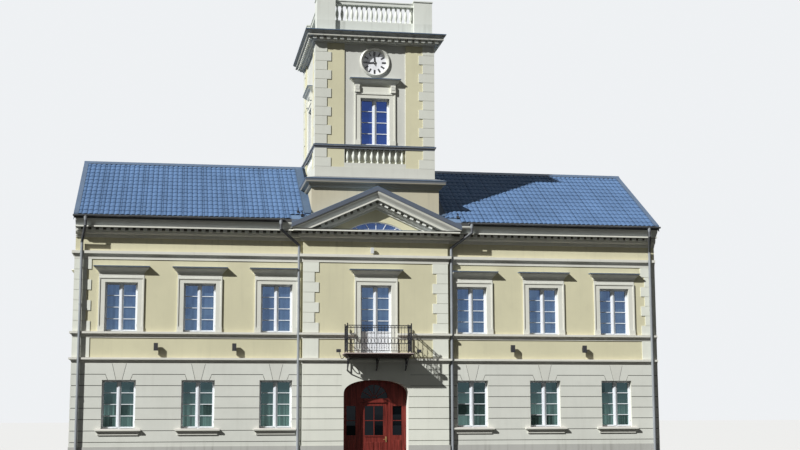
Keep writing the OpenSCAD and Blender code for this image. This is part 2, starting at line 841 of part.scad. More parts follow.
// Copies children to the windows of the left end wall, with the wall face at y = 0
module end_faces() {
    for (a = [-end_axis, end_axis]) translate([-half_l, a, 0]) rotate([0, 0, -90]) children();
}

module high_windows() {
    for (a = front_axes) translate([a, -half_d + reveal, 0]) children();
    for (a = back_axes) translate([a, half_d - reveal, 0]) mirror([0, 1, 0]) children();
    end_faces() translate([0, reveal, 0]) children();
}

lunette_y = bay_y + lunette_back + lunette_frame_t;

module upper_window_frames() {
    color("white") {
        high_windows() window_frame(high_window_w, high_window_z, high_window_top);
        tower_faces() translate([0, reveal + panel_back, 0])
            window_frame(tower_window_w, tower_window_z, tower_window_top);
        translate([0, lunette_y, 0]) rotate([90, 0, 0]) linear_extrude(lunette_frame_t) difference() {
            lunette_outline();
            intersection() {
                translate([0, lunette_frame_w]) lunette_outline();
                translate([0, -lunette_frame_w]) lunette_outline();
                translate([-lunette_half + lunette_frame_w * 3, 0])
                    square([2 * lunette_half - lunette_frame_w * 6, far]);
            }
        }
    }
}

module upper_glass() {
    color([0.15, 0.2, 0.3]) {
        high_windows() pane(high_window_w, high_window_z, high_window_top);
        translate([0, bay_y + reveal, 0]) pane(high_window_w, high_window_z, high_window_top);
        tower_faces() translate([0, reveal + panel_back, 0])
            pane(tower_window_w, tower_window_z, tower_window_top);
        translate([0, lunette_y + glass_t, 0]) rotate([90, 0, 0]) linear_extrude(glass_t) lunette_outline();
    }
}

module ground_window_frames() {
    color("white") high_windows() window_frame(low_window_w, low_window_z, low_window_top);
}

module ground_glass() {
    color([0.3, 0.45, 0.45]) {
        high_windows() pane(low_window_w, low_window_z, low_window_top);
        translate([0, door_y + door_frame_t / 2, 0]) {
            both_sides() block(side_light, side_light + side_light_w, 0, glass_t, glass_z, glass_top);
            translate([0, glass_t, 0]) rotate([90, 0, 0]) linear_extrude(glass_t) fanlight_outline();
        }
    }
}

roof_x = half_l + verge_out;

// The outside of the tower, step by step, where it comes through the roof
module tower_mass() {
    block(-tw - base_out, tw + base_out, base_y0, base_y1, 0, pedestal_z);
    block(-tw - foot_out, tw + foot_out, tower_y0 - foot_out, tower_y1 + foot_out, pedestal_z - 1,
        pedestal_z + pedestal_foot);
    block(-tw, tw, tower_y0, tower_y1, pedestal_z, far);
    both_sides() block(tw - quoin_long, tw + quoin_out, tower_y1 - quoin_long, tower_y1 + quoin_out,
        pedestal_z, far);
}

module roof_sheet(front) {
    difference() {
        intersection() {
            under_roof(-roof_x, roof_x, roof_t);
            block(-far, far, front ? -far : 0, front ? 0 : far, 0, far);
        }
        under_roof(-far, far);
        tower_mass();
        if (front) block(-ped_half, ped_half, -far, base_y0, 0, far);
    }
}

module roof_front() { color(blue_roof) roof_sheet(true); }

module roof_back() { color(blue_roof) roof_sheet(false); }

cap_half = 160;
cap_t = 60;
verge_w = 170;
board_t = 15;
board_drop = 60;

// The ridge cap follows both slopes; its underside lies on the roof. A strip with a board edges each gable.
module roof_trim() {
    foot = roof_top(cap_half);
    start = tw + quoin_out;
    color(blue_roof) both_sides() {
        translate([start, 0, 0]) rotate([90, 0, 90]) linear_extrude(roof_x + board_t - start)
            polygon([[-cap_half, foot], [0, ridge_z], [cap_half, foot], [cap_half, foot + cap_t],
                [0, ridge_z + cap_t * 1.5], [-cap_half, foot + cap_t]]);
        difference() {
            under_roof(roof_x - verge_w, roof_x + 1, roof_t + cap_t);
            under_roof(-far, far, roof_t);
        }
        difference() {
            under_roof(roof_x, roof_x + board_t, roof_t + cap_t);
            under_roof(-far, far, -board_drop);
        }
    }
}

gutter_t = 5;

// A half-round trough along X with closed ends; its lip is level with the eaves
module gutter(x0, x1) {
    translate([x0, 0, 0]) rotate([90, 0, 90]) difference() {
        linear_extrude(x1 - x0) difference() {
            circle(gutter_r);
            translate([-gutter_r - 1, 0]) square([2 * gutter_r + 2, gutter_r + 1]);
        }
        translate([0, 0, gutter_t]) linear_extrude(x1 - x0 - 2 * gutter_t) circle(gutter_r - gutter_t);
    }
}

gutter_y = run + gutter_r + 0.3;
gutter_z = eave_z - 10;
gutter_end = roof_x + board_t + 20;
gutter_start = ped_half + 300;

module gutters() {
    color(grey_metal) {
        both_sides() translate([0, -gutter_y, gutter_z]) gutter(gutter_start, gutter_end);
        translate([0, gutter_y, gutter_z]) gutter(-gutter_end, gutter_end);
    }
}

neck_drop = 375;
neck_fall = 580;
neck_side = 135;
pipe_foot = 60;

// A rod between two points, with a slightly swollen joint where it starts
module rod(a, b, r) {
    d = b - a;
    l = norm(d);
    translate(a) rotate([0, acos(d.z / l), atan2(d.y, d.x)]) cylinder(l, r, r);
    translate(a) sphere(r + 4);
}

bracket_t = 30;
bracket_drop = 300;

// A downpipe from the gutter at x_top to the wall at x; cover is the facing behind its upper brackets
module downpipe(x, x_top, cover) {
    face = -half_d;
    top = gutter_z - gutter_r / 2;
    knee = top - neck_drop;
    y_top = -gutter_y;
    y = face - pipe_out;
    foot = knee - neck_fall;
    difference() {
        rod([x_top, y_top, knee], [x_top, y_top, top], pipe_r);
        translate([x_top - pipe_r * 2, y_top, gutter_z]) rotate([0, 90, 0])
            cylinder(pipe_r * 4, gutter_r + 0.3, gutter_r + 0.3);
    }
    rod([x, y, foot], [x_top, y_top, knee], pipe_r);
    translate([x, y, pipe_foot]) cylinder(foot - pipe_foot, pipe_r, pipe_r);
    for (b = [[plinth_h + bracket_drop, facing_t], [sill_belt_z - bracket_drop, cover],
        [top_belt_z - bracket_drop, cover]])
        block(x - bracket_t / 2, x + bracket_t / 2, y, face - b[1],
            b[0] - bracket_t / 2, b[0] + bracket_t / 2);
}

module downpipes() {
    color([0.62, 0.65, 0.66]) {
        both_sides() downpipe(corner_pipe_x, gutter_start + 120, 0);
        both_sides() downpipe(end_pipe_x, end_pipe_x - neck_side, quoin_out);
        mirror([0, 1, 0]) both_sides() downpipe(end_pipe_x, end_pipe_x - neck_side, quoin_out);
    }
}

module tower_base() {
    color(yellow) difference() {
        block(-tw - base_out, tw + base_out, base_y0, base_y1, attic_floor_z, base_top);
        tower_void(0, far);
        block(-far, far, -far, -half_d + wall_t, 0, shelf_z);
    }
}

function base_ledge_profile() = concat([[0, base_top], [20, base_top]],
    ovolo([30, base_top], [120, base_top + 160]),
    [[240, base_top + 200], [265, base_top + 360], [-base_out, pedestal_z]]);

function sill_ledge_profile() = [[0, ledge_z], [25, ledge_z], [45, ledge_z + ledge_h * 0.5],
    [75, ledge_z + ledge_h * 0.5], [75, ledge_z + ledge_h * 0.85], [0, ledge_z + ledge_h]];

module tower_ledges() {
    color(grey_metal) {
        difference() {
            moulded_block(base_ledge_profile(), tw + base_out, base_y0, base_y1);
            tower_void(0, far);
            // The ledge ends where it meets the slopes of the roof
            difference() {
                under_roof(-far / 2, far / 2, roof_t);
                tower_mass();
            }
        }
        difference() {
            moulded_block(sill_ledge_profile(), tw, tower_y0, tower_y1);
            tower_void(0, far);
        }
    }
}

niche_half = 1250;
niche_d = 160;
niche_foot = 590;
niche_z = pedestal_z + niche_foot;

module tower_pedestal() {
    color(yellow) difference() {
        union() {
            block(-tw, tw, tower_y0, tower_y1, pedestal_z, ledge_z);
            block(-tw - foot_out, tw + foot_out, tower_y0 - foot_out, tower_y1 + foot_out, pedestal_z,
                pedestal_z + pedestal_foot);
        }
        tower_void(0, far);
        tower_faces() block(-niche_half, niche_half, -1, niche_d, niche_z, ledge_z + 1);
    }
}

module tower_shaft() {
    z0 = ledge_z + ledge_h;
    color(yellow) difference() {
        block(-tw, tw, tower_y0, tower_y1, z0, top_cornice_z);
        tower_void(0, far);
        tower_faces() block(-tower_window_w / 2, tower_window_w / 2, -1, tower_wall_t + 1,
            tower_window_z, tower_window_top);
        tower_faces() block(-panel_half, panel_half, -1, panel_back + panel_t, z0 - 1, top_cornice_z + 1);
        clock_hole();
    }
}

// The panels lie a little behind the face of the shaft
module tower_panels() {
    color(white) difference() {
        tower_faces() difference() {
            block(-panel_half, panel_half, panel_back, panel_back + panel_t, tower_window_z, top_cornice_z);
            block(-tower_window_w / 2, tower_window_w / 2, -far, far, tower_window_z, tower_window_top);
        }
        clock_hole();
    }
}

module tower_cornice() {
    color(white) difference() {
        moulded_block(crown_profile(top_cornice_z, top_cornice_h, top_cornice_out), tw, tower_y0, tower_y1);
        tower_void(0, top_cornice_z + top_cornice_h - 150);
        block(-void_x, void_x, void_y0, void_y1, 0, far);
    }
}

deck_z = top_cornice_z + top_cornice_h + 90;

module tower_deck() {
    color(grey_metal) tower_void(deck_z - 250, deck_z - 50);
}

cap_out = 30;
pier_cap_h = 45;
rail_h = 190;
rail_top = parapet_h - pier_cap_h - 5;
rail_z = deck_z + rail_top - rail_h;
curb_h = 480;
parapet_set = 140;
parapet_x = tw - 40;
parapet_y0 = tower_y0 + 40;
parapet_y1 = tower_y1 - 40;
curb_t = 300;

// The four sides of the parapet: a curb with the turned balusters that stand on it
module parapet_sides() {
    z = deck_z + curb_h;
    h = rail_z - z;
    side = parapet_x - pier_w;
    side_y = (parapet_y1 - parapet_y0) / 2 - pier_w;
    color(white) {
        for (y = [parapet_y0 + parapet_set, parapet_y1 - parapet_set - curb_t]) {
            block(-side, side, y, y + curb_t, deck_z, z);
            translate([0, y + curb_t / 2, z]) baluster_row(2 * side, baluster_count, h, baluster_r);
        }
        both_sides() {
            block(parapet_x - parapet_set - curb_t, parapet_x - parapet_set, tower_mid - side_y,
                tower_mid + side_y, deck_z, z);
            translate([parapet_x - parapet_set - curb_t / 2, tower_mid, z]) rotate([0, 0, 90])
                baluster_row(2 * side_y, baluster_count, h, baluster_r);
        }
    }
}

// The corner piers with their flat caps
module parapet_piers() {
    top = deck_z + parapet_h - pier_cap_h;
    color(white) both_sides() for (y = [parapet_y0, parapet_y1 - pier_w]) {
        block(parapet_x - pier_w, parapet_x, y, y + pier_w, deck_z, top);
        block(parapet_x - pier_w - cap_out, parapet_x + cap_out, y - cap_out, y + pier_w + cap_out, top,
            deck_z + parapet_h);
    }
}

// A handrail l long along X, centred on the origin: a plain body under a wider cap that sheds water
module handrail(l) {
    c = curb_t / 2;
    h = rail_h;
    translate([-l / 2, 0, 0]) rotate([90, 0, 90]) linear_extrude(l)
        polygon([[-c, 0], [c, 0], [c, h * 0.6], [c + cap_out, h * 0.7], [c + cap_out, h * 0.88], [0, h],
            [-c - cap_out, h * 0.88], [-c - cap_out, h * 0.7], [-c, h * 0.6]]);
}

module parapet_rails() {
    middle = parapet_set + curb_t / 2;
    color(white) translate([0, 0, rail_z]) {
        for (y = [parapet_y0 + middle, parapet_y1 - middle]) translate([0, y, 0])
            handrail(2 * (parapet_x - pier_w));
        both_sides() translate([parapet_x - middle, tower_mid, 0]) rotate([0, 0, 90])
            handrail(parapet_y1 - parapet_y0 - 2 * pier_w);
    }
}

baluster_r = 68;
baluster_count = 16;
niche_count = 10;

// A turned baluster from z = 0 to h
module baluster(h, r) {
    belly = [for (i = [0:6]) let (t = i / 6) [r * (0.45 + 0.55 * sin(15 + 150 * t)), h * (0.2 + 0.48 * t)]];
    rotate_extrude($fn = 24) polygon(concat(
        [[0, 0], [r * 0.75, 0], [r * 0.75, h * 0.08], [r * 0.42, h * 0.13]], belly,
        [[r * 0.4, h * 0.82], [r * 0.7, h * 0.88], [r * 0.7, h], [0, h]]));
}

module baluster_row(l, n, h, r) {
    for (i = [0:n - 1]) translate([l * ((i + 0.5) / n - 0.5), 0, 0]) baluster(h, r);
}

module niche_balusters() {
    color(white) tower_faces() translate([0, niche_d / 2, niche_z])
        baluster_row(2 * niche_half, niche_count, ledge_z - niche_z, baluster_r);
}

dial_r = clock_r - 75;
rim_out = 85;
dial_out = -110;
dial_t = 20;
tube_t = 20;
arbor_r = 20;
arbor_gap = 0.3;
hand_t = 8;
hour_y = 12;
minute_y = 27;

module at_clock() { translate([0, tower_y0 + panel_back, clock_z]) rotate([90, 0, 0]) children(); }

// The round hole that the dial sits in
module clock_hole() {
    at_clock() translate([0, 0, dial_out - dial_t]) cylinder(dial_t - dial_out + 1, dial_r + tube_t + 2,
        dial_r + tube_t + 2, $fn = 96);
}

// The dial at the bottom of its tube, with a rim on the face of the panel and the arbor of the hands
module clock_dial() {
    back = dial_out - dial_t;
    tip = dial_out + minute_y + hand_t + 6;
    color("white") at_clock() rotate_extrude($fn = 96) polygon(concat(
        [[0, back], [dial_r + tube_t, back], [dial_r + tube_t, 0], [clock_r, 0]],
        cyma([clock_r, rim_out * 0.4], [dial_r + tube_t, rim_out]),
        [[dial_r, rim_out - 10], [dial_r, dial_out], [arbor_r, dial_out], [arbor_r, tip], [0, tip]]));
}

// A clock hand that points up, with a round hub on the arbor
module hand(l, w, lift) {
    translate([0, 0, dial_out + lift]) difference() {
        linear_extrude(hand_t) {
            circle(r = 48);
            polygon([[-w / 2, -l * 0.22], [w / 2, -l * 0.22], [w / 2, l * 0.7], [0, l], [-w / 2, l * 0.7]]);
        }
        translate([0, 0, -1]) cylinder(hand_t + 2, arbor_r + arbor_gap, arbor_r + arbor_gap);
    }
}

module clock_hour_hand() { color(iron) at_clock() rotate([0, 0, 95]) hand(330, 60, hour_y); }

module clock_minute_hand() { color(iron) at_clock() rotate([0, 0, 6]) hand(480, 44, minute_y); }

slab_lip = 45;
slab_hollow = 190;

// The slab thins out to a lip over a hollow underside
module balcony_slab() {
    z = balcony_z;
    out = slab_hollow;
    color([0.5, 0.42, 0.36]) moulded_block(concat([[0, z - balcony_t]],
        cyma([out * 0.06, z - balcony_t], [out * 0.92, z - slab_lip]), [[out, z - slab_lip], [out, z]]),
        balcony_w / 2 - out, bay_y - balcony_out + out, bay_y, true);
}

post = 40;
bar_r = 8;
rail_t = 25;
rail_foot = 60;
rail_set = 90;
front_fields = 19;
side_fields = 6;

// One straight stretch of railing along X, from 0 to l: n fields of full bars with half bars between them
module railing_run(l, n) {
    low_rail = railing_h * 0.32;
    for (z = [rail_foot, low_rail, railing_h * 0.89, railing_h - rail_t])
        block(0, l, 0, rail_t, z, z + rail_t);
    translate([0, rail_t / 2, rail_foot]) {
        for (i = [1:n - 1]) translate([l * i / n, 0, 0])
            cylinder(railing_h - rail_foot - rail_t / 2, bar_r, bar_r, $fn = 8);
        for (i = [0:n - 1]) translate([l * (i + 0.5) / n, 0, 0])
            cylinder(low_rail - rail_foot + rail_t / 2, bar_r, bar_r, $fn = 8);
    }
}

module balcony_railing() {
    x = balcony_w / 2 - rail_set;
    y0 = bay_y - balcony_out + rail_set;
    y1 = bay_y - belt_out - post;
    color(iron) translate([0, 0, balcony_z]) {
        translate([-x, y0, 0]) railing_run(2 * x, front_fields);
        both_sides() {
            translate([-x, y0, 0]) rotate([0, 0, 90]) mirror([0, 1, 0]) railing_run(y1 - y0, side_fields);
            for (y = [y0, y1]) translate([-x, y, 0])
                block(-post / 2, post / 2, -post / 2, post / 2, 0, railing_h + 30);
        }
    }
}

iron_t = 30;
bracket_h = 490;
bracket_l = 700;
bracket_ring = 105;

// An iron bracket: wall strap, arm, slanting brace and a ring in the corner between them
module bracket(h, l) {
    t = iron_t;
    ring_at = [t + bracket_ring, -t - bracket_ring];
    translate([t / 2, 0, 0]) rotate([90, 0, -90]) linear_extrude(t) {
        translate([0, -h]) square([t, h]);
        translate([-belt_out + facing_t, -h]) square([belt_out - facing_t + 1, 2 * t]);
        translate([0, -t]) square([l, t]);
        polygon([[t * 0.9, -h], [t * 0.9, -h + t * 1.5], [l - t * 1.5, -t * 0.9], [l, -t * 0.9]]);
        difference() {
            translate(ring_at) circle(bracket_ring + t * 0.2);
            translate(ring_at) circle(bracket_ring - t * 0.6);
        }
    }
}

module balcony_irons() {
    color(iron) for (x = [-1, 0, 1]) translate([x * (balcony_w / 2 - slab_hollow), bay_y - belt_out,
        balcony_z - balcony_t]) bracket(bracket_h, bracket_l);
}

module balcony_door() {
    color("white") translate([0, bay_y + reveal, 0])
        window_frame(high_window_w, balcony_z, high_window_top, high_window_z - balcony_z + frame_w);
}

door_y = bay_y + recess;
leaf_half = leaf_w / 2;
leaf_y = door_y + door_frame_t - leaf_t;

knuckle_r = 14;
knuckle_h = 60;
hinge_off = 20;
pin_gap = 0.3;
hinge_zs = [ground_floor_z + 250, leaf_top - 420];

// Half a hinge on the inner face: plate, web and knuckle, with side 1 for the leaf and -1 for the frame
module hinge_ear(side) {
    start = side > 0 ? leaf_gap : 0;
    linear_extrude(knuckle_h) {
        translate([side > 0 ? start : -90, 0]) square([90 - start, 6]);
        translate([side > 0 ? start : -knuckle_r, 0]) square([knuckle_r - start, hinge_off]);
        translate([0, hinge_off]) circle(knuckle_r);
    }
}

module entrance_frame() {
    color(brown) translate([0, door_y, 0]) {
        translate([0, door_frame_t, 0]) rotate([90, 0, 0]) linear_extrude(door_frame_t) difference() {
            arch_outline(arch_half, arch_spring_z, arch_rise, ground_floor_z);
            translate([-leaf_half, 0]) square([leaf_w, leaf_top]);
            both_halves_2d() translate([side_light, glass_z]) square([side_light_w, glass_top - glass_z]);
            fanlight_outline();
        }
        for (z = hinge_zs) translate([-leaf_half, door_frame_t, z]) hinge_ear(-1);
    }
    color(brown) for (z = hinge_zs) translate([-leaf_half, door_y + door_frame_t + hinge_off, z])
        cylinder(2 * knuckle_h - 10, pin_r, pin_r);
}

module both_halves_2d() {
    children();
    mirror([1, 0]) children();
}

fanlight_r = 540;
fanlight_rise = 170;

// The half-round light over the door
module fanlight_outline() {
    translate([0, leaf_top + fanlight_rise]) intersection() {
        circle(fanlight_r);
        translate([-fanlight_r, 0]) square([2 * fanlight_r, fanlight_r]);
    }
}

module entrance_door() {
    g = leaf_gap;
    color(brown) translate([0, leaf_y, 0]) difference() {
        union() {
            block(-leaf_half + g, leaf_half - free_gap, 0, leaf_t, ground_floor_z + g, leaf_top - g);
            for (z = hinge_zs) translate([-leaf_half, leaf_t, z + knuckle_h + 0.5]) hinge_ear(1);
        }
        block(-glass_half, glass_half, -1, leaf_t + 1, glass_z, glass_top);
        for (z = hinge_zs) translate([-leaf_half, leaf_t + hinge_off, z + knuckle_h])
            cylinder(knuckle_h + 1, pin_r + pin_gap, pin_r + pin_gap);
    }
}

glass_half = 370;
glass_z = 1340;
glass_top = leaf_top - 130;
glass_back = 25;
side_light = 740;
side_light_w = 370;

module door_glass() {
    y = leaf_y + glass_back;
    color([0.15, 0.2, 0.22]) block(-glass_half, glass_half, y, y + glass_t, glass_z, glass_top);
}

module door_handle() {
    color([0.8, 0.78, 0.7]) translate([leaf_half - 70, leaf_y, 1180]) {
        block(-25, 25, -8, 0, -110, 110);
        rotate([90, 0, 0]) cylinder(60, 11, 11);
        translate([0, -60, 0]) rotate([0, -90, 0]) cylinder(120, 11, 11);
    }
}

lamp_w = 160;
lamp_h = 290;
lamp_d = 230;
lamp_z = lower_belt_z + lower_belt_h + 265;
lamp_shift = 140;
frieze_lamp_x = -170;
frieze_lamp_d = 160;
frieze_lamp_rise = 40;

// A box lamp on a short arm, with the wall face at y = 0
module box_lamp(w, h, d) {
    block(-w / 2, w / 2, -d, -d * 0.5, 0, h);
    block(-w * 0.15, w * 0.15, -d * 0.5, 0, h * 0.35, h * 0.6);
    block(-w * 0.35, w * 0.35, -12, 0, h * 0.2, h * 0.75);
}

module wall_lamps() {
    color(iron) {
        both_sides() for (i = [0.5, 1.5])
            translate([first_axis + lamp_shift + i * axis_step, -half_d, lamp_z])
                box_lamp(lamp_w, lamp_h, lamp_d);
        translate([frieze_lamp_x, bay_y, top_belt_z + top_belt_h + frieze_lamp_rise])
            box_lamp(lamp_w * 0.75, lamp_h * 0.8, frieze_lamp_d);
    }
}

plinth();
front_wings();
entrance_piers();
entrance_arch();
centre_wall();
back_wall();
end_walls();
floors();
rustication_wings();
rustication_centre();
belts();
main_cornice();
dentils();
tympanum();
raking_cornice();
pediment_roof();
wall_quoins();
tower_quoins();
window_surrounds();
window_hoods();
window_sills();
keystones();
upper_window_frames();
ground_window_frames();
upper_glass();
ground_glass();
roof_front();
roof_back();
roof_trim();
gutters();
downpipes();
tower_base();
tower_ledges();
tower_pedestal();
tower_shaft();
tower_panels();
tower_cornice();
tower_deck();
parapet_sides();
parapet_piers();
parapet_rails();
niche_balusters();
clock_dial();
clock_hour_hand();
clock_minute_hand();
balcony_slab();
balcony_railing();
balcony_irons();
balcony_door();
entrance_frame();
entrance_door();
door_glass();
door_handle();
wall_lamps();
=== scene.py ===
# %% [markdown]
# # A town hall with a clock tower
# This lesson gives a plastered town hall its looks. The walls, mouldings, roof planes and moving parts come
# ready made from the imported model, at full size and in metres. Blender adds what is too fine for them: the
# finishes, the metal tiles, the window bars, the ironwork of the balcony, the strokes on the dial and the
# sheet metal.

import math

import bmesh
import bpy
from mathutils import Matrix, Vector


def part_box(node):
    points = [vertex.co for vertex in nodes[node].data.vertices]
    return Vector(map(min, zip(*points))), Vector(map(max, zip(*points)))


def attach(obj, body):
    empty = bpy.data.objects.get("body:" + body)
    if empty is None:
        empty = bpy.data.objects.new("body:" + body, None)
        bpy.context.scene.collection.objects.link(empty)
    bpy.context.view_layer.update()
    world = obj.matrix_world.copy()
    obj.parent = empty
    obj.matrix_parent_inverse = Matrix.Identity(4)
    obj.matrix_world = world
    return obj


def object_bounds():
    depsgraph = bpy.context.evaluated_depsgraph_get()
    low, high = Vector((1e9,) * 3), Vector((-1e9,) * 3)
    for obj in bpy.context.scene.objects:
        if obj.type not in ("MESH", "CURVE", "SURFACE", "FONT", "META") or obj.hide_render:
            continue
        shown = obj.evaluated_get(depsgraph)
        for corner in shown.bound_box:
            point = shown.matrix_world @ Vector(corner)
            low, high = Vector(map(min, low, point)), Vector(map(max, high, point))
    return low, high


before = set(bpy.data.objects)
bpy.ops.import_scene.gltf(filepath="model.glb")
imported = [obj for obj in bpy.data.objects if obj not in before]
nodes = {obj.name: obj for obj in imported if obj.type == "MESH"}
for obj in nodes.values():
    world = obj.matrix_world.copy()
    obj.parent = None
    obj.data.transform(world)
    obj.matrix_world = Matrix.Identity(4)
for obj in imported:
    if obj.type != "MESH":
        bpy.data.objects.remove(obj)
model_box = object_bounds()
print(f"{len(nodes)} nodes, box from {tuple(model_box[0])} to {tuple(model_box[1])}")

# %% [markdown]
# The main planes and heights of the building are read from the nodes, so that every new piece sits on what
# carries it. The model's front looks along -Y, its right side along +X.

# %% Main planes
wing_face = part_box("front_wings")[0].y
bay_low, bay_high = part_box("centre_wall")
shaft_low, shaft_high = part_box("tower_shaft")
roof_low, roof_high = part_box("roof_front")
back_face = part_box("back_wall")[1].y
bay_face, bay_half = bay_low.y, bay_high.x
tower_middle = (shaft_low.y + shaft_high.y) / 2
print(f"front at {wing_face:.2f}, bay at {bay_face:.2f}, tower from {shaft_low.y:.2f} to {shaft_high.y:.2f}")

# %% [markdown]
# ## The stage
# The camera stands in front, a little to the left, about 56 m away and just above eye height, and looks
# slightly upwards. Its place comes from the straight lines of the front.

# %% Camera
EYE = Vector((-7.795, -56.059, 2.25))
TURN, TILT, ROLL = 0.1685, 0.1415, -0.0025
FOCAL_PIXELS = 1312.54
PICTURE_WIDTH = 800
SENSOR_WIDTH = 36.0
VIEW_REACH = 600

ahead = Vector((math.sin(TURN) * math.cos(TILT), math.cos(TURN) * math.cos(TILT), math.sin(TILT)))
level = Vector((math.cos(TURN), -math.sin(TURN), 0))
upward = level.cross(ahead)
right = level * math.cos(ROLL) + upward * math.sin(ROLL)
top = upward * math.cos(ROLL) - level * math.sin(ROLL)
camera = bpy.data.objects.new("camera", bpy.data.cameras.new("camera"))
camera.data.sensor_width = SENSOR_WIDTH
camera.data.lens = FOCAL_PIXELS * SENSOR_WIDTH / PICTURE_WIDTH
camera.data.clip_end = VIEW_REACH
camera.matrix_world = Matrix.Translation(EYE) @ Matrix((right, top, -ahead)).transposed().to_4x4()
bpy.context.scene.collection.objects.link(camera)
bpy.context.scene.camera = camera
print(f"lens {camera.data.lens:.1f} mm")

# %% [markdown]
# One broad key light comes from the upper left in front, as on a clear day. A weaker one from behind on the
# right keeps the back readable, and an even world fills the shadows. The world looks pale to the camera and
# in reflections, and the floor to the camera, but the light they give to the building is held back, so that
# undersides stay as deep as they are outdoors.

# %% Lights
scene = bpy.context.scene
scene.view_settings.view_transform = "Standard"


def sun(name, travels, strength, angle):
    """A sun whose light travels along a direction and spreads by an angle in degrees."""
    lamp = bpy.data.objects.new(name, bpy.data.lights.new(name, "SUN"))
    lamp.data.energy = strength
    lamp.data.angle = math.radians(angle)
    lamp.rotation_mode = "QUATERNION"
    lamp.rotation_quaternion = Vector(travels).to_track_quat("-Z", "Y")
    scene.collection.objects.link(lamp)


sun("key_light", travels=(1.42, 0.95, -1.26), strength=5.7, angle=1.0)
sun("back_light", travels=(-0.5, -0.9, -0.35), strength=1.8, angle=14)

FILL = 0.14
PALE = (0.86, 0.88, 0.90, 1)
world = bpy.data.worlds.new("studio")
scene.world = world
world.use_nodes = True
tree = world.node_tree
background = tree.nodes["Background"]
seen = tree.nodes.new("ShaderNodeLightPath")
either, any_view = tree.nodes.new("ShaderNodeMath"), tree.nodes.new("ShaderNodeMath")
either.operation = any_view.operation = "MAXIMUM"
strength = tree.nodes.new("ShaderNodeMapRange")
strength.inputs["To Min"].default_value = FILL
strength.inputs["To Max"].default_value = 1.0
background.inputs["Color"].default_value = PALE
tree.links.new(seen.outputs["Is Camera Ray"], either.inputs[0])
tree.links.new(seen.outputs["Is Glossy Ray"], either.inputs[1])
tree.links.new(either.outputs[0], any_view.inputs[0])
tree.links.new(seen.outputs["Is Transmission Ray"], any_view.inputs[1])
tree.links.new(any_view.outputs[0], strength.inputs["Value"])
tree.links.new(strength.outputs["Result"], background.inputs["Strength"])
print("two suns and a world")

# %% [markdown]
# ## Writing finishes as sums
# A finish is a tree of shader nodes. Placing them one by one hides what they say, so a small class wraps a
# socket and lets Python's own signs add the Math nodes. Every other node comes from one method.

# %% The finish classes
class Value:
    """One output of a finish's tree, which takes part in sums as a number does."""

    def __init__(self, finish, socket):
        self.finish = finish
        self.socket = socket

    def maths(self, operation, first, second):
        """The outcome of one Math node."""
        return self.finish.node("ShaderNodeMath", {"operation": operation}, {0: first, 1: second})

    def __add__(self, other):
        return self.maths("ADD", self, other)

    def __radd__(self, other):
        return self.maths("ADD", other, self)

    def __sub__(self, other):
        return self.maths("SUBTRACT", self, other)

    def __rsub__(self, other):
        return self.maths("SUBTRACT", other, self)

    def __mul__(self, other):
        return self.maths("MULTIPLY", self, other)

    def __rmul__(self, other):
        return self.maths("MULTIPLY", other, self)

    def __truediv__(self, other):
        return self.maths("DIVIDE", self, other)

    def __pow__(self, other):
        return self.maths("POWER", self, other)

    def size(self):
        """The distance from zero."""
        return self.maths("ABSOLUTE", self, 0)

    def part_of(self, step):
        """How far the value is through its step, from 0 to 1."""
        return self.maths("FRACT", self / step, 0)

    def least(self, other):
        """The smaller of the two."""
        return self.maths("MINIMUM", self, other)

    def ramp(self, low, high):
        """0 below low, 1 above high and a smooth rise between them."""
        inputs = {"Value": self, "From Min": low, "From Max": high}
        return self.finish.node("ShaderNodeMapRange", {"interpolation_type": "SMOOTHSTEP"}, inputs)

    def band(self, start, full, fade, end):
        """1 from full to fade, 0 below start and above end."""
        return self.ramp(start, full) * (1 - self.ramp(fade, end))


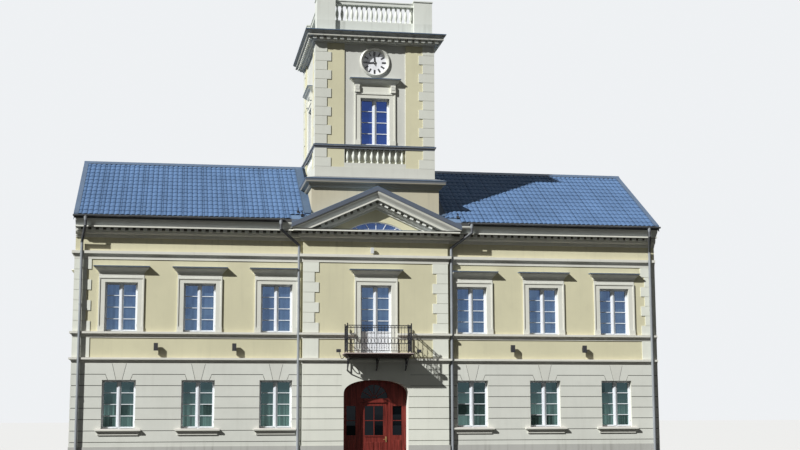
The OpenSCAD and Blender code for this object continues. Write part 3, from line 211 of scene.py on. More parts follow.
class Finish:
    """A material whose look is written as sums of its nodes."""

    def __init__(self, name, **constants):
        self.material = bpy.data.materials.new(name)
        self.material.use_nodes = True
        self.tree = self.material.node_tree
        self.surface = self.tree.nodes["Principled BSDF"]
        self.place = self.node("ShaderNodeTexCoord", output="Object")
        self.look(**constants)

    def feed(self, made, inputs):
        """Links or sets the inputs of a node."""
        for key, value in inputs.items():
            socket = made.inputs[key]
            if isinstance(value, Value):
                self.tree.links.new(value.socket, socket)
            elif socket.type == "RGBA":
                socket.default_value = (*value, 1)
            else:
                socket.default_value = value

    def node(self, kind, settings=None, inputs=None, output=0):
        """Adds a node and returns one of its outputs."""
        made = self.tree.nodes.new(kind)
        for key, value in (settings or {}).items():
            setattr(made, key, value)
        self.feed(made, inputs or {})
        return Value(self, made.outputs[output])

    def part(self, axis):
        """The X, Y or Z of the place on the object."""
        return self.node("ShaderNodeSeparateXYZ", None, {0: self.place}, axis)

    def stretched(self, scale):
        """The place, with each direction drawn together by its own factor."""
        return self.node("ShaderNodeVectorMath", {"operation": "MULTIPLY"}, {0: self.place, 1: scale})

    def clouds(self, scale, detail=3.0, where=None):
        """Soft noise, from 0 to 1."""
        inputs = {"Vector": where or self.place, "Scale": scale, "Detail": detail, "Roughness": 0.55}
        return self.node("ShaderNodeTexNoise", None, inputs)

    def blend(self, first, second, share):
        """A mix of two colours, with a share of the second."""
        return self.node("ShaderNodeMix", {"data_type": "RGBA"}, {0: share, 6: first, 7: second}, 2)

    def depth_inside(self, low, high):
        """How deep the place lies behind the four sides of a box, as in a window's reveal or a groove."""
        x, y = self.part("X"), self.part("Y")
        return (x - low.x).least(high.x - x).least((y - low.y).least(high.y - y))

    def upward(self):
        """How far the surface faces up, from -1 to 1."""
        normal = self.node("ShaderNodeNewGeometry", output="True Normal")
        return self.node("ShaderNodeSeparateXYZ", None, {0: normal}, "Z")

    def bump(self, height, strength, distance):
        """A normal that follows a height."""
        inputs = {"Height": height, "Strength": strength, "Distance": distance}
        return self.node("ShaderNodeBump", None, inputs)

    def look(self, **inputs):
        """Feeds the surface and gives the finish back."""
        self.feed(self.surface, {key.replace("_", " "): value for key, value in inputs.items()})
        return self

    def colour_so_far(self):
        return Value(self, self.surface.inputs["Base Color"].links[0].from_socket)

    def over(self, colour, share):
        """Lays a colour over the one so far, as thickly as the share says."""
        return self.look(Base_Color=self.blend(self.colour_so_far(), colour, share))


def shade(colour, factor):
    """A colour made darker or lighter by a factor."""
    return tuple(c * factor for c in colour)


print("finish classes ready")

# %% [markdown]
# ## The floor
# The floor is a plain pale sheet that catches the shadow of the building. To the camera it is pale. In the
# light that it throws back up it is as dark as worn stone, because a white floor would light every underside.

# %% Floor
FLOOR_SEEN = (0.62, 0.62, 0.61)
FLOOR_GIVES = (0.05, 0.05, 0.048)
FLOOR_SIZE = 260
floor_finish = Finish("pale_floor", Roughness=1.0, Specular_IOR_Level=0.0)
camera_ray = floor_finish.node("ShaderNodeLightPath", output="Is Camera Ray")
floor_finish.look(Base_Color=floor_finish.blend(FLOOR_GIVES, FLOOR_SEEN, camera_ray))
floor_mesh = bmesh.new()
bmesh.ops.create_grid(floor_mesh, x_segments=1, y_segments=1, size=FLOOR_SIZE)
floor = bpy.data.objects.new("floor", bpy.data.meshes.new("floor"))
floor_mesh.to_mesh(floor.data)
floor_mesh.free()
floor.data.materials.append(floor_finish.material)
scene.collection.objects.link(floor)
print("floor laid")

# %% [markdown]
# ## Plaster
# Painted lime plaster is never one flat colour. It has soft clouds where the coats dried unevenly, a fine
# grain that only shows up close, and thin runs of dirt below each ledge. One function makes all the plasters,
# with the paint's colour, the colour of its dirt and how strongly the runs show.

# %% Plaster finishes
LEDGES = [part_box(name)[0].z for name in ("main_cornice", "tower_ledges", "tower_cornice")]
SPLASH_TOP = 1.5
GRIME_REACH = 0.55
BAND_EDGE = 0.02
SHARP = 0.004


def plaster(name, colour, dirt, runs=0.3, grain=0.35, top=None, soot=(), inside=None):
    """top is the colour of ledges seen from above, soot lists dark bands, inside is a box, the width of its
    edge and its inner colour."""
    finish = Finish(name)
    height = finish.part("Z")
    broad = finish.clouds(0.45, 4).ramp(0.32, 0.68)
    patches = finish.clouds(2.6, 5).ramp(0.45, 0.75)
    streaks = finish.clouds(1.0, 5, finish.stretched((5.5, 5.5, 0.35))).ramp(0.5, 0.78)
    speckle = finish.clouds(60, 2)
    grime = (1 - height.ramp(0.2, SPLASH_TOP)) * 0.5
    for ledge in LEDGES:
        below = height.band(ledge - GRIME_REACH, ledge, ledge, ledge + BAND_EDGE)
        grime = grime + below * 0.3
    tone = finish.blend(shade(colour, 0.955), shade(colour, 1.035), broad)
    tone = finish.blend(tone, shade(colour, 0.92), patches * 0.35)
    tone = finish.blend(tone, shade(colour, 0.86), speckle.ramp(0.62, 0.75) * 0.35)
    tone = finish.blend(tone, dirt, streaks * (grime + 0.16) * runs)
    for low, high, share in soot:
        band = height.band(low - BAND_EDGE, low, high - BAND_EDGE, high)
        tone = finish.blend(tone, shade(dirt, 0.6), band * (0.35 + 0.65 * streaks) * share)
    # In the reveals the inner colour is white paint; in the grooves it is painted shade.
    if inside:
        low, high, edge, inner = inside
        tone = finish.blend(tone, inner, finish.depth_inside(low, high).ramp(edge, edge + SHARP))
    dust = finish.upward().ramp(0.5, 0.9)
    tone = finish.blend(tone, top or shade(dirt, 1.1), dust * (0.9 if top else 0.45))
    rough = finish.clouds(9, 4)
    relief = rough * 0.5 + speckle * 0.5
    return finish.look(Base_Color=tone, Roughness=0.82 + 0.1 * broad,
                       Normal=finish.bump(relief, grain, 0.004))


YELLOW = (0.625, 0.595, 0.405)
WHITE = (0.70, 0.705, 0.625)
MOULDED = (0.69, 0.69, 0.61)
REVEAL = (0.66, 0.66, 0.60)
# Painted shade in the grooves of the facing.
GROOVE_SHADE = (0.13, 0.135, 0.12)
WALL_DIRT = (0.25, 0.24, 0.19)
SHEET_TOP = (0.30, 0.33, 0.37)
# Painted shade between the dentils.
TOOTH_SHADE = (0.045, 0.045, 0.03)
REVEAL_EDGE, GROOVE_EDGE = 0.012, 0.010


def painted_wall(node, colour=YELLOW):
    """Plaster that turns white inside the reveals of its windows."""
    low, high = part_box(node)
    return plaster(node + "_plaster", colour, WALL_DIRT, 0.55, inside=(low, high, REVEAL_EDGE, REVEAL))


def grooved_facing(node, colour):
    """Plaster with painted shade in its grooves."""
    low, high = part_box(node)
    return plaster(node + "_plaster", colour, WALL_DIRT, 0.5, inside=(low, high, GROOVE_EDGE, GROOVE_SHADE))


def toothed_cornice(node, bands, fall=0.0):
    """Plaster with painted shade, nearly black, behind the dentils. fall is how much a raking band drops a
    metre.
    """
    finish = plaster(node + "_plaster", MOULDED, WALL_DIRT, 0.6, top=SHEET_TOP)
    level = finish.part("Z") + finish.part("X").size() * fall
    for low, high, share in bands:
        finish.over(TOOTH_SHADE, level.band(low - SHARP, low, high, high + SHARP) * share)
    return finish


yellow_plaster = plaster("yellow_plaster", YELLOW, WALL_DIRT, 0.55)
base_plaster = plaster("base_plaster", (0.52, 0.475, 0.345), WALL_DIRT, 0.9)
white_plaster = plaster("white_plaster", WHITE, WALL_DIRT, 0.5)
key_plaster = plaster("key_plaster", (0.63, 0.635, 0.57), WALL_DIRT, 0.5)
quoin_plaster = plaster("quoin_plaster", (0.635, 0.645, 0.575), WALL_DIRT, 0.5)
wall_quoin_plaster = plaster("wall_quoin_plaster", (0.73, 0.745, 0.655), WALL_DIRT, 0.5)
# The hoods are paler than the other mouldings: painted light, which stands for light that reaches their
# shaded undersides.
hood_lightened_plaster = plaster("hood_lightened_plaster", (0.84, 0.845, 0.765), WALL_DIRT, 0.5, top=SHEET_TOP)
# The dentils are paler than the other mouldings: painted light, so that they stand out in the cornice's
# shade.
tooth_lightened_plaster = plaster("tooth_lightened_plaster", (0.80, 0.81, 0.74), WALL_DIRT, 0.3)
moulded_plaster = plaster("moulded_plaster", MOULDED, WALL_DIRT, 0.6, top=SHEET_TOP)
belt_plaster = plaster("belt_plaster", (0.69, 0.685, 0.61), WALL_DIRT, 0.6, top=(0.60, 0.55, 0.52))
crown_low, crown_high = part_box("tower_cornice")
CROWN_SOOT = (crown_low.z + 0.20, crown_high.z - 0.10, 0.75)
tower_crown_plaster = plaster("tower_crown_plaster", (0.62, 0.62, 0.56), (0.17, 0.15, 0.12), 0.9,
                              top=(0.34, 0.40, 0.46), soot=[CROWN_SOOT])
parapet_plaster = plaster("parapet_plaster", (0.655, 0.675, 0.615), (0.20, 0.21, 0.18), 0.9,
                          soot=[(crown_high.z, crown_high.z + 0.45, 0.25)])
panel_plaster = plaster("panel_plaster", (0.60, 0.605, 0.55), WALL_DIRT, 0.5)
plinth_plaster = plaster("plinth_plaster", (0.45, 0.45, 0.415), (0.16, 0.155, 0.13), 0.9, 0.7)
print("plasters mixed")

# %% [markdown]
# The foot of the tower has a niche with balusters on each side. Its plaster is yellow beside the niche,
# between the white corner stones, and white everywhere else. The finish measures across each face, so it
# needs to know which way the surface looks.

# %% Plaster of the pedestal
NICHE_HALF = 1.265
FOOT_BAND = 0.41


def pedestal_finish(node):
    """White plaster that is yellow beside the niche."""
    low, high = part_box(node)
    finish = plaster("pedestal_plaster", (0.61, 0.615, 0.55), WALL_DIRT, 0.5)
    middle = (low.y + high.y) / 2
    normal = finish.node("ShaderNodeNewGeometry", output="True Normal")
    front = finish.node("ShaderNodeSeparateXYZ", None, {0: normal}, "Y").size().ramp(0.4, 0.6)
    across = finish.part("X").size() * front + (finish.part("Y") - middle).size() * (1 - front)
    band_top = low.z + FOOT_BAND
    above = finish.part("Z").ramp(band_top, band_top + SHARP)
    return finish.over(YELLOW, across.ramp(NICHE_HALF, NICHE_HALF + SHARP) * above)


pedestal_plaster = pedestal_finish("tower_pedestal")
print(f"niche {2 * NICHE_HALF:.2f} m wide")

# %% [markdown]
# ## Metals
# Three sheet metals show. The roof is steel tile with a blue-grey satin paint that has faded in soft patches.
# The gutters, ledges and caps are zinc that has gone dull, and the downpipes are a paler grey.

# %% Metal finishes
def sheet_metal(name, colour, roughness, fade=0.12):
    """Painted or weathered sheet with faded patches, spots and runs, and shallow dents."""
    finish = Finish(name)
    broad = finish.clouds(0.7, 4).ramp(0.3, 0.7)
    spots = finish.clouds(7, 5).ramp(0.55, 0.72)
    runs = finish.clouds(1.0, 4, finish.stretched((4, 4, 0.5))).ramp(0.5, 0.75)
    tone = finish.blend(shade(colour, 1 - fade), shade(colour, 1 + fade), broad)
    tone = finish.blend(tone, shade(colour, 0.72), spots * 0.3 + runs * 0.25)
    relief = finish.bump(finish.clouds(3.5, 3), 0.12, 0.01)
    return finish.look(Base_Color=tone, Roughness=roughness + 0.12 * spots, Normal=relief)


SHEET_WIDTH = 0.8
FIRST_JOINT = 2.82
JOINT_HALF, JOINT_FADE = 0.022, 0.034


def roof_sheet(name, colour):
    """Sheet metal with the dark joints of the single sheets."""
    finish = sheet_metal(name, colour, 0.62, fade=0.10)
    along = (finish.part("X").size() - FIRST_JOINT).part_of(SHEET_WIDTH)
    joint = (1 - along.ramp(JOINT_HALF, JOINT_FADE)) + along.ramp(1 - JOINT_FADE, 1 - JOINT_HALF)
    return finish.look(Specular_IOR_Level=0.06).over(shade(colour, 0.35), joint * 0.7)


def two_tone(name, base, low_colour, turn_height, depth=0.03):
    """A sheet finish that changes its colour below a height."""
    finish = sheet_metal(name, base, 0.55)
    turn = finish.part("Z").ramp(turn_height, turn_height + depth)
    return finish.look(Base_Color=finish.blend(low_colour, finish.colour_so_far(), turn))


roof_paint = roof_sheet("roof_paint", (0.096, 0.165, 0.292))
edge_paint = sheet_metal("edge_paint", (0.075, 0.115, 0.18), 0.55)
flashing = sheet_metal("flashing", (0.085, 0.125, 0.185), 0.6, fade=0.08).look(Specular_IOR_Level=0.1)
zinc = sheet_metal("zinc", (0.165, 0.175, 0.185), 0.55)
print("roof metals painted")

# %% [markdown]
# Some sheets show two colours. The boards under the tiles are painted dark grey where they look down, as
# painted shade under the gutter, the base ledge of the tower is stained below its edge, the pipes are dark at
# their knees, where they are bent, and the pediment's sheet is bluer on top than on its front edge. A smooth
# step over the height or the slope joins each pair.

# %% Metals of two colours
LEDGE_TURN, KNEE_FOOT, KNEE_TOP = 11.39, 8.80, 9.55
BOARD_UNDERSIDE_SHADE, DARK_KNEE, TOP_BLUE = (0.060, 0.062, 0.060), (0.075, 0.08, 0.085), (0.12, 0.19, 0.30)
# The boards' blue is darker than the tiles': painted shade, for the shade of the waves that the smooth boards
# lack.
roof_board = sheet_metal("roof_board", (0.055, 0.095, 0.17), 0.7)
board_top = roof_board.upward().ramp(0.3, 0.6)
roof_board.look(Base_Color=roof_board.blend(BOARD_UNDERSIDE_SHADE, roof_board.colour_so_far(), board_top))
ledge_metal = two_tone("ledge_metal", (0.165, 0.18, 0.20), (0.37, 0.345, 0.27), LEDGE_TURN)
pipe_metal = sheet_metal("pipe_metal", (0.25, 0.27, 0.285), 0.45)
pipe_metal.over(DARK_KNEE, pipe_metal.part("Z").band(KNEE_FOOT - 0.1, KNEE_FOOT, KNEE_TOP, KNEE_TOP + 0.05))
pediment_metal = sheet_metal("pediment_metal", (0.095, 0.115, 0.15), 0.55)
pediment_metal.over(TOP_BLUE, pediment_metal.upward().ramp(0.3, 0.6))
print("metals of two colours painted")

# %% [markdown]
# ## Joinery and glass
# The windows are white gloss paint over softwood, with a faint brushed grain. The doors are red-brown varnish
# over a coarser grain that runs with the height. The glass is dark, because there is no light behind it, and
# its blue, which changes with the height, is a painted reflection of the sky. Each pane is set at a slightly
# different slant, which makes neighbouring panes catch different light.

# %% Joinery finishes
def paint(name, colour, roughness, wear=0.15):
    """Gloss paint that is duller in patches."""
    finish = Finish(name, Coat_Roughness=0.25)
    brushed = finish.clouds(1.0, 3, finish.stretched((60, 60, 4)))
    soft = finish.clouds(2.5, 3).ramp(0.35, 0.7)
    tone = finish.blend(colour, shade(colour, 1 - wear), soft)
    tone = finish.blend(tone, shade(colour, 0.7), finish.clouds(18, 4).ramp(0.64, 0.76) * 0.4)
    return finish.look(Base_Color=tone, Roughness=roughness + 0.15 * soft, Coat_Weight=0.2 * (1 - soft),
                       Normal=finish.bump(brushed, 0.12, 0.002))


def varnish(name, colour):
    """Varnish over wood, with the grain upright."""
    finish = Finish(name, Coat_Roughness=0.3, Specular_IOR_Level=0.15)
    where = finish.stretched((34, 34, 1.6))
    rings = finish.clouds(1.0, 6, where)
    figure = finish.clouds(0.35, 3, where)
    tone = finish.blend(shade(colour, 0.55), shade(colour, 1.5), rings.ramp(0.3, 0.72))
    tone = finish.blend(tone, shade(colour, 0.45), figure.ramp(0.55, 0.8) * 0.5)
    return finish.look(Base_Color=tone, Roughness=0.38 + 0.2 * figure,
                       Coat_Weight=0.08 * rings.ramp(0.2, 0.7), Normal=finish.bump(rings, 0.25, 0.002))


white_paint = paint("white_paint", (0.76, 0.79, 0.82), 0.34, 0.07)
brown_varnish = varnish("brown_varnish", (0.150, 0.024, 0.018))
print("joinery painted")

# %% Glass finishes
PANE_SLANT = 0.035
PANE_CELL = (0.56, 0.5, 0.43)
HALL_SHADE = (0.006, 0.009, 0.012)


def window_glass(name, low_colour, high_colour, bottom, height, curtain=0.0):
    """Glass whose colour is a painted reflection that changes with height, each pane at its own slight slant,
    with the folds of a curtain and painted shade over the entrance.
    """
    finish = Finish(name, Metallic=0.75)
    cell = finish.node("ShaderNodeVectorMath", {"operation": "SNAP"}, {0: finish.place, 1: PANE_CELL})
    chance = finish.node("ShaderNodeTexWhiteNoise", None, {0: cell}, "Color")
    tilt = finish.node("ShaderNodeVectorMath", {"operation": "SUBTRACT"}, {0: chance, 1: (0.5, 0.5, 0.5)})
    tilt = finish.node("ShaderNodeVectorMath", {"operation": "SCALE"}, {0: tilt, "Scale": PANE_SLANT})
    plain = finish.node("ShaderNodeNewGeometry", output="Normal")
    slanted = finish.node("ShaderNodeVectorMath", {"operation": "ADD"}, {0: plain, 1: tilt})
    slanted = finish.node("ShaderNodeVectorMath", {"operation": "NORMALIZE"}, {0: slanted})
    # The upper colour's share grows with the height: painted reflection of the sky.
    share = ((finish.part("Z") - bottom) / height) * 0.8 + 0.4 * (finish.clouds(1.3, 3) - 0.3)
    pane = finish.node("ShaderNodeTexWhiteNoise", None, {0: cell}, "Value")
    folds = finish.clouds(1.0, 2, finish.stretched((16, 16, 0.12))).ramp(0.42, 0.6)
    tone = finish.blend(low_colour, high_colour, share.ramp(0, 1))
    tone = finish.blend(tone, shade(high_colour, 0.5), pane * 0.3)
    tone = finish.blend(tone, shade(low_colour, 2.4), folds * (1 - share.ramp(0.2, 0.7)) * curtain)
    # Over the entrance, below 4 m, the glass is painted near black: painted shade of the dark hall behind.
    entrance = (1 - finish.part("X").size().ramp(1.2, 1.3)) * (1 - finish.part("Y").ramp(-1, 0))
    tone = finish.blend(tone, HALL_SHADE, entrance * (1 - finish.part("Z").ramp(4, 4.1)))
    return finish.look(Base_Color=tone, Roughness=0.05 + 0.04 * pane, Normal=slanted)


upper_pane = window_glass("upper_pane", (0.115, 0.185, 0.290), (0.035, 0.080, 0.300), 5.4, 7.6, 0.1)
lower_pane = window_glass("lower_pane", (0.085, 0.150, 0.135), (0.060, 0.110, 0.120), 1.7, 1.7, 0.5)
door_pane = window_glass("door_pane", (0.008, 0.012, 0.014), (0.005, 0.008, 0.011), 1.3, 1.2)
print("glass ready")

# %% [markdown]
# ## Iron, brass, dial and concrete
# The railing is black paint over forged iron, dull and a little rusty. The dial is enamelled sheet. The
# balcony is a concrete slab with rust running from its bars, and its underside is painted dark as painted
# shade.

# %% Small finishes
def black_iron(name):
    """Dull black paint with spots of rust."""
    finish = Finish(name, Metallic=0.35)
    rust = finish.clouds(11, 5).ramp(0.56, 0.74)
    tone = finish.blend((0.020, 0.021, 0.026), (0.075, 0.038, 0.026), rust * 0.5)
    return finish.look(Base_Color=tone, Roughness=0.48 + 0.3 * rust,
                       Normal=finish.bump(finish.clouds(70, 3), 0.3, 0.001))


def aged_brass(name):
    """Brass that has gone dull in patches."""
    finish = Finish(name, Metallic=1.0)
    dull = finish.clouds(40, 4).ramp(0.4, 0.7)
    return finish.look(Base_Color=finish.blend((0.72, 0.52, 0.22), (0.30, 0.22, 0.11), dull),
                       Roughness=0.28 + 0.3 * dull)


def enamel(name, colour):
    """Glossy enamel under a film of dust."""
    finish = Finish(name, Coat_Weight=0.3, Coat_Roughness=0.15)
    dusty = finish.clouds(4, 4).ramp(0.45, 0.75)
    tone = finish.blend(colour, shade(colour, 0.86), dusty)
    return finish.look(Base_Color=tone, Roughness=0.35 + 0.2 * dusty)


def balcony_concrete(name):
    """Stained concrete, paler on top, with painted shade below."""
    finish = Finish(name)
    up = finish.upward()
    underside_shade = 1 - up.ramp(-0.9, -0.2)
    rust = finish.clouds(3.2, 5, finish.stretched((1, 1, 0.3))).ramp(0.48, 0.66)
    grit = finish.clouds(38, 4)
    tone = finish.blend((0.11, 0.075, 0.062), (0.075, 0.048, 0.04), finish.clouds(1.5, 4).ramp(0.35, 0.7))
    tone = finish.blend(tone, (0.14, 0.05, 0.035), rust * 0.55)
    slab_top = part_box("balcony_slab")[1].z
    tone = finish.blend(tone, (0.42, 0.35, 0.33), finish.part("Z").ramp(slab_top - 0.040, slab_top - 0.030))
    # Faces that look down are painted nearly black: painted shade.
    tone = finish.blend(tone, (0.035, 0.022, 0.02), underside_shade * 0.95)
    tone = finish.blend(tone, (0.55, 0.45, 0.42), up.ramp(0.5, 0.9))
    return finish.look(Base_Color=tone, Roughness=0.85 + 0.1 * grit, Normal=finish.bump(grit, 0.4, 0.004))


def lamp_paint(name, turn_height):
    """Black paint on the lamps of the lower storey, white paint on the one under the cornice."""
    finish = Finish(name)
    grain = finish.clouds(30, 3)
    turn = finish.part("Z").ramp(turn_height, turn_height + 0.1)
    tone = finish.blend((0.028, 0.028, 0.032), (0.62, 0.64, 0.64), turn)
    return finish.look(Base_Color=finish.blend(tone, (0.05, 0.05, 0.05), grain.ramp(0.6, 0.8) * 0.3),
                       Roughness=0.45 + 0.15 * grain)


def boarded_floor(name):
    """Plain grey-brown floor."""
    finish = Finish(name)
    grit = finish.clouds(5, 4)
    tone = finish.blend((0.24, 0.22, 0.19), (0.31, 0.29, 0.26), grit)
    return finish.look(Base_Color=tone, Roughness=0.8 + 0.1 * grit)


iron = black_iron("black_iron")
brass = aged_brass("aged_brass")
dial_enamel = enamel("dial_enamel", (0.80, 0.81, 0.84))
rim_enamel = enamel("rim_enamel", (0.62, 0.62, 0.56))
dial_black = enamel("dial_black", (0.014, 0.014, 0.016))
LAMP_TURN = 7.0
lamp_black = lamp_paint("lamp_paint", LAMP_TURN)
concrete = balcony_concrete("balcony_concrete")
inner_floor = boarded_floor("inner_floor")
print("small finishes ready")

# %% [markdown]
# ## Finishing the ready-made pieces
# Each node of the imported model keeps its shape and only gets a finish; some finishes carry painted shade or
# painted light, as said where they are made. What is listed under a finish gets it, and everything that isn't
# named is moulded plaster.

# %% Finishes of the nodes
# Heights and share of the painted shade behind the dentils: level, and on the raking cornice.
LEVEL_TOOTH_SHADE = (9.27, 9.342, 0.8)
RAKING_TOOTH_SHADE, RAKING_FALL = (10.53, 10.628, 0.7), 0.4477
finish_of = {name: moulded_plaster for name in nodes}
for name in ("front_wings", "centre_wall", "back_wall", "end_walls", "tower_shaft"):
    finish_of[name] = painted_wall(name)
finish_of["rustication_wings"] = grooved_facing("rustication_wings", (0.655, 0.665, 0.60))
finish_of["rustication_centre"] = grooved_facing("rustication_centre", (0.745, 0.755, 0.665))
finish_of["main_cornice"] = toothed_cornice("main_cornice", [LEVEL_TOOTH_SHADE])
finish_of["raking_cornice"] = toothed_cornice("raking_cornice", [RAKING_TOOTH_SHADE], RAKING_FALL)
for finish, names in (
    (yellow_plaster, ["tympanum"]),
    (base_plaster, ["tower_base"]),
    (white_plaster, ["entrance_piers", "entrance_arch"]),
    (tooth_lightened_plaster, ["dentils"]),
    (key_plaster, ["keystones"]),
    (quoin_plaster, ["tower_quoins"]),
    (wall_quoin_plaster, ["wall_quoins"]),
    (belt_plaster, ["belts", "window_sills"]),
    (tower_crown_plaster, ["tower_cornice"]),
    (panel_plaster, ["tower_panels"]),
    (pedestal_plaster, ["tower_pedestal"]),
    (parapet_plaster, ["parapet_sides", "parapet_piers", "parapet_rails", "niche_balusters"]),
    (plinth_plaster, ["plinth"]),
    (roof_board, ["roof_front", "roof_back"]),
    (hood_lightened_plaster, ["window_hoods"]),
    (pediment_metal, ["pediment_roof"]),
    (edge_paint, ["roof_trim"]),
    (ledge_metal, ["tower_ledges"]),
    (zinc, ["gutters", "tower_deck"]),
    (pipe_metal, ["downpipes"]),
    (white_paint, ["upper_window_frames", "ground_window_frames", "balcony_door"]),
    (upper_pane, ["upper_glass"]),
    (lower_pane, ["ground_glass"]),
    (door_pane, ["door_glass"]),
    (brown_varnish, ["entrance_frame", "entrance_door"]),
    (brass, ["door_handle"]),
    (rim_enamel, ["clock_dial"]),
    (iron, ["clock_hour_hand", "clock_minute_hand", "balcony_railing", "balcony_irons"]),
    (lamp_black, ["wall_lamps"]),
    (concrete, ["balcony_slab"]),
    (inner_floor, ["floors"]),
):
    for name in names:
        finish_of[name] = finish
for name, finish in finish_of.items():
    nodes[name].data.materials.clear()
    nodes[name].data.materials.append(finish.material)
print(f"{len(finish_of)} nodes finished")

# %% [markdown]
# ## Tools for new pieces
# New pieces are built in a bmesh, from a few shapes that operators change. A piece's vertices are in the
# model's own place, so its object can stay at the origin, and it rides on a named body.

# %% Mesh helpers
def brick(bm, low, high):
    """Adds a box between two corners and returns its vertices."""
    low, high = Vector(low), Vector(high)
    place = Matrix.Translation((low + high) / 2) @ Matrix.Diagonal((*(high - low), 1))
    return bmesh.ops.create_cube(bm, size=1.0, matrix=place)["verts"]


def rod(bm, start, end, radius, sides=10, end_radius=None):
    """Adds a closed round bar between two points and returns its vertices."""
    start, end = Vector(start), Vector(end)
    turn = (end - start).to_track_quat("Z", "Y").to_matrix().to_4x4()
    return bmesh.ops.create_cone(bm, cap_ends=True, segments=sides, radius1=radius,
                                 radius2=radius if end_radius is None else end_radius,
                                 depth=(end - start).length,
                                 matrix=Matrix.Translation((start + end) / 2) @ turn)["verts"]


def finished(name, bm, finish, body="building", smooth=None):
    """Turns a bmesh into a piece with its finish and body."""
    bmesh.ops.recalc_face_normals(bm, faces=bm.faces)
    open_edges = sum(len(edge.link_faces) != 2 for edge in bm.edges)
    piece = bpy.data.objects.new(name, bpy.data.meshes.new(name))
    bm.to_mesh(piece.data)
    bm.free()
    if smooth is not None:
        piece.data.shade_smooth()
        piece.data.set_sharp_from_angle(angle=math.radians(smooth))
    piece.data.materials.append(finish.material)
    scene.collection.objects.link(piece)
    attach(piece, body)
    print(f"{name}: {len(piece.data.polygons)} faces, {open_edges} open edges")
    return piece


SAME_PLACE = 0.0001


def islands(name):
    """The boxes of a node's separate solids, found on a merged copy of its mesh."""
    bm = bmesh.new()
    bm.from_mesh(nodes[name].data)
    bmesh.ops.remove_doubles(bm, verts=bm.verts, dist=SAME_PLACE)
    left, boxes = set(bm.verts), []
    while left:
        group, edge = [], [left.pop()]
        while edge:
            vert = edge.pop()
            group.append(vert.co.copy())
            near = {e.other_vert(vert) for e in vert.link_edges} & left
            left -= near
            edge.extend(near)
        corners = [[f(p[i] for p in group) for i in range(3)] for f in (min, max)]
        boxes.append((Vector(corners[0]), Vector(corners[1])))
    bm.free()
    return sorted(boxes, key=lambda box: tuple(round(c, 3) for c in (*box[0], *box[1])))


print("mesh helpers ready")

# %% [markdown]
# Bent bars, such as the rings of the railing or the straps of a gutter, start as one small square face that
# is spun round a centre. A whole ring is spun without the face and its ends are merged.

# %% Bent bars
def bow(bm, centre, across, radius, start=0, sweep=360, size=(0.012, 0.012), steps=12):
    """Adds a square bar bent in an upright plane along across. Angles run from across towards the sky."""
    centre, across, sky = Vector(centre), Vector(across), Vector((0, 0, 1))
    axis = across.cross(sky)
    turn = math.radians(start)
    out = across * math.cos(turn) + sky * math.sin(turn)
    corners = [centre + out * (radius + i * size[0] / 2) + axis * (j * size[1] / 2)
               for i, j in ((-1, -1), (1, -1), (1, 1), (-1, 1))]
    known = set(bm.verts)
    section = bm.faces.new([bm.verts.new(c) for c in corners])
    whole = sweep >= 360
    geometry = list(section.verts) + list(section.edges) + ([] if whole else [section])
    if whole:
        bmesh.ops.delete(bm, geom=[section], context="FACES_ONLY")
    bmesh.ops.spin(bm, geom=geometry, cent=centre, axis=axis, angle=math.radians(sweep), steps=steps,
                   use_merge=whole, use_duplicate=False)
    return [v for v in bm.verts if v not in known]


def pebble(bm, centre, radius, stretch=1.0):
    """Adds a small ball, drawn out upwards by a factor."""
    matrix = Matrix.Translation(centre) @ Matrix.Diagonal((1, 1, stretch, 1))
    return bmesh.ops.create_icosphere(bm, subdivisions=2, radius=radius, matrix=matrix)["verts"]


print("bent bars ready")

# %% [markdown]
# ## Metal tiles
# The roof is covered with pressed steel sheets that imitate tiles. Each course is a row of soft waves that
# ends in a small step over the course below. A grid with paired rows makes the steps: two rows share a place
# on the slope but not a height, and the wave lifts every vertex along the row. Solidify then gives the sheet
# its thickness, so that it is closed.

# %% Roof tiles
WAVE, WAVE_HEIGHT = 0.20, 0.028
COURSE, STEP_HEIGHT = 0.40, 0.020
WAVE_PROFILE = (0.10, 0.50, 0.82, 0.98, 1.0, 0.96, 0.88, 0.0)
TILE_LIFT, SHEET = 0.006, 0.003
FLASHING_WIDTH, TILES_OVER = 0.30, 0.05
VERGE_COVER = 0.13
FAR = 20
eave_y, ridge_z = abs(roof_low.y), roof_high.z
eave_z = max(v.co.z for v in nodes["roof_front"].data.vertices if abs(v.co.y + eave_y) < 0.001)
slope_length = math.hypot(eave_y, ridge_z - eave_z)
slope_normal = Vector((0, -(ridge_z - eave_z), eave_y)).normalized()
courses = round(slope_length / COURSE)


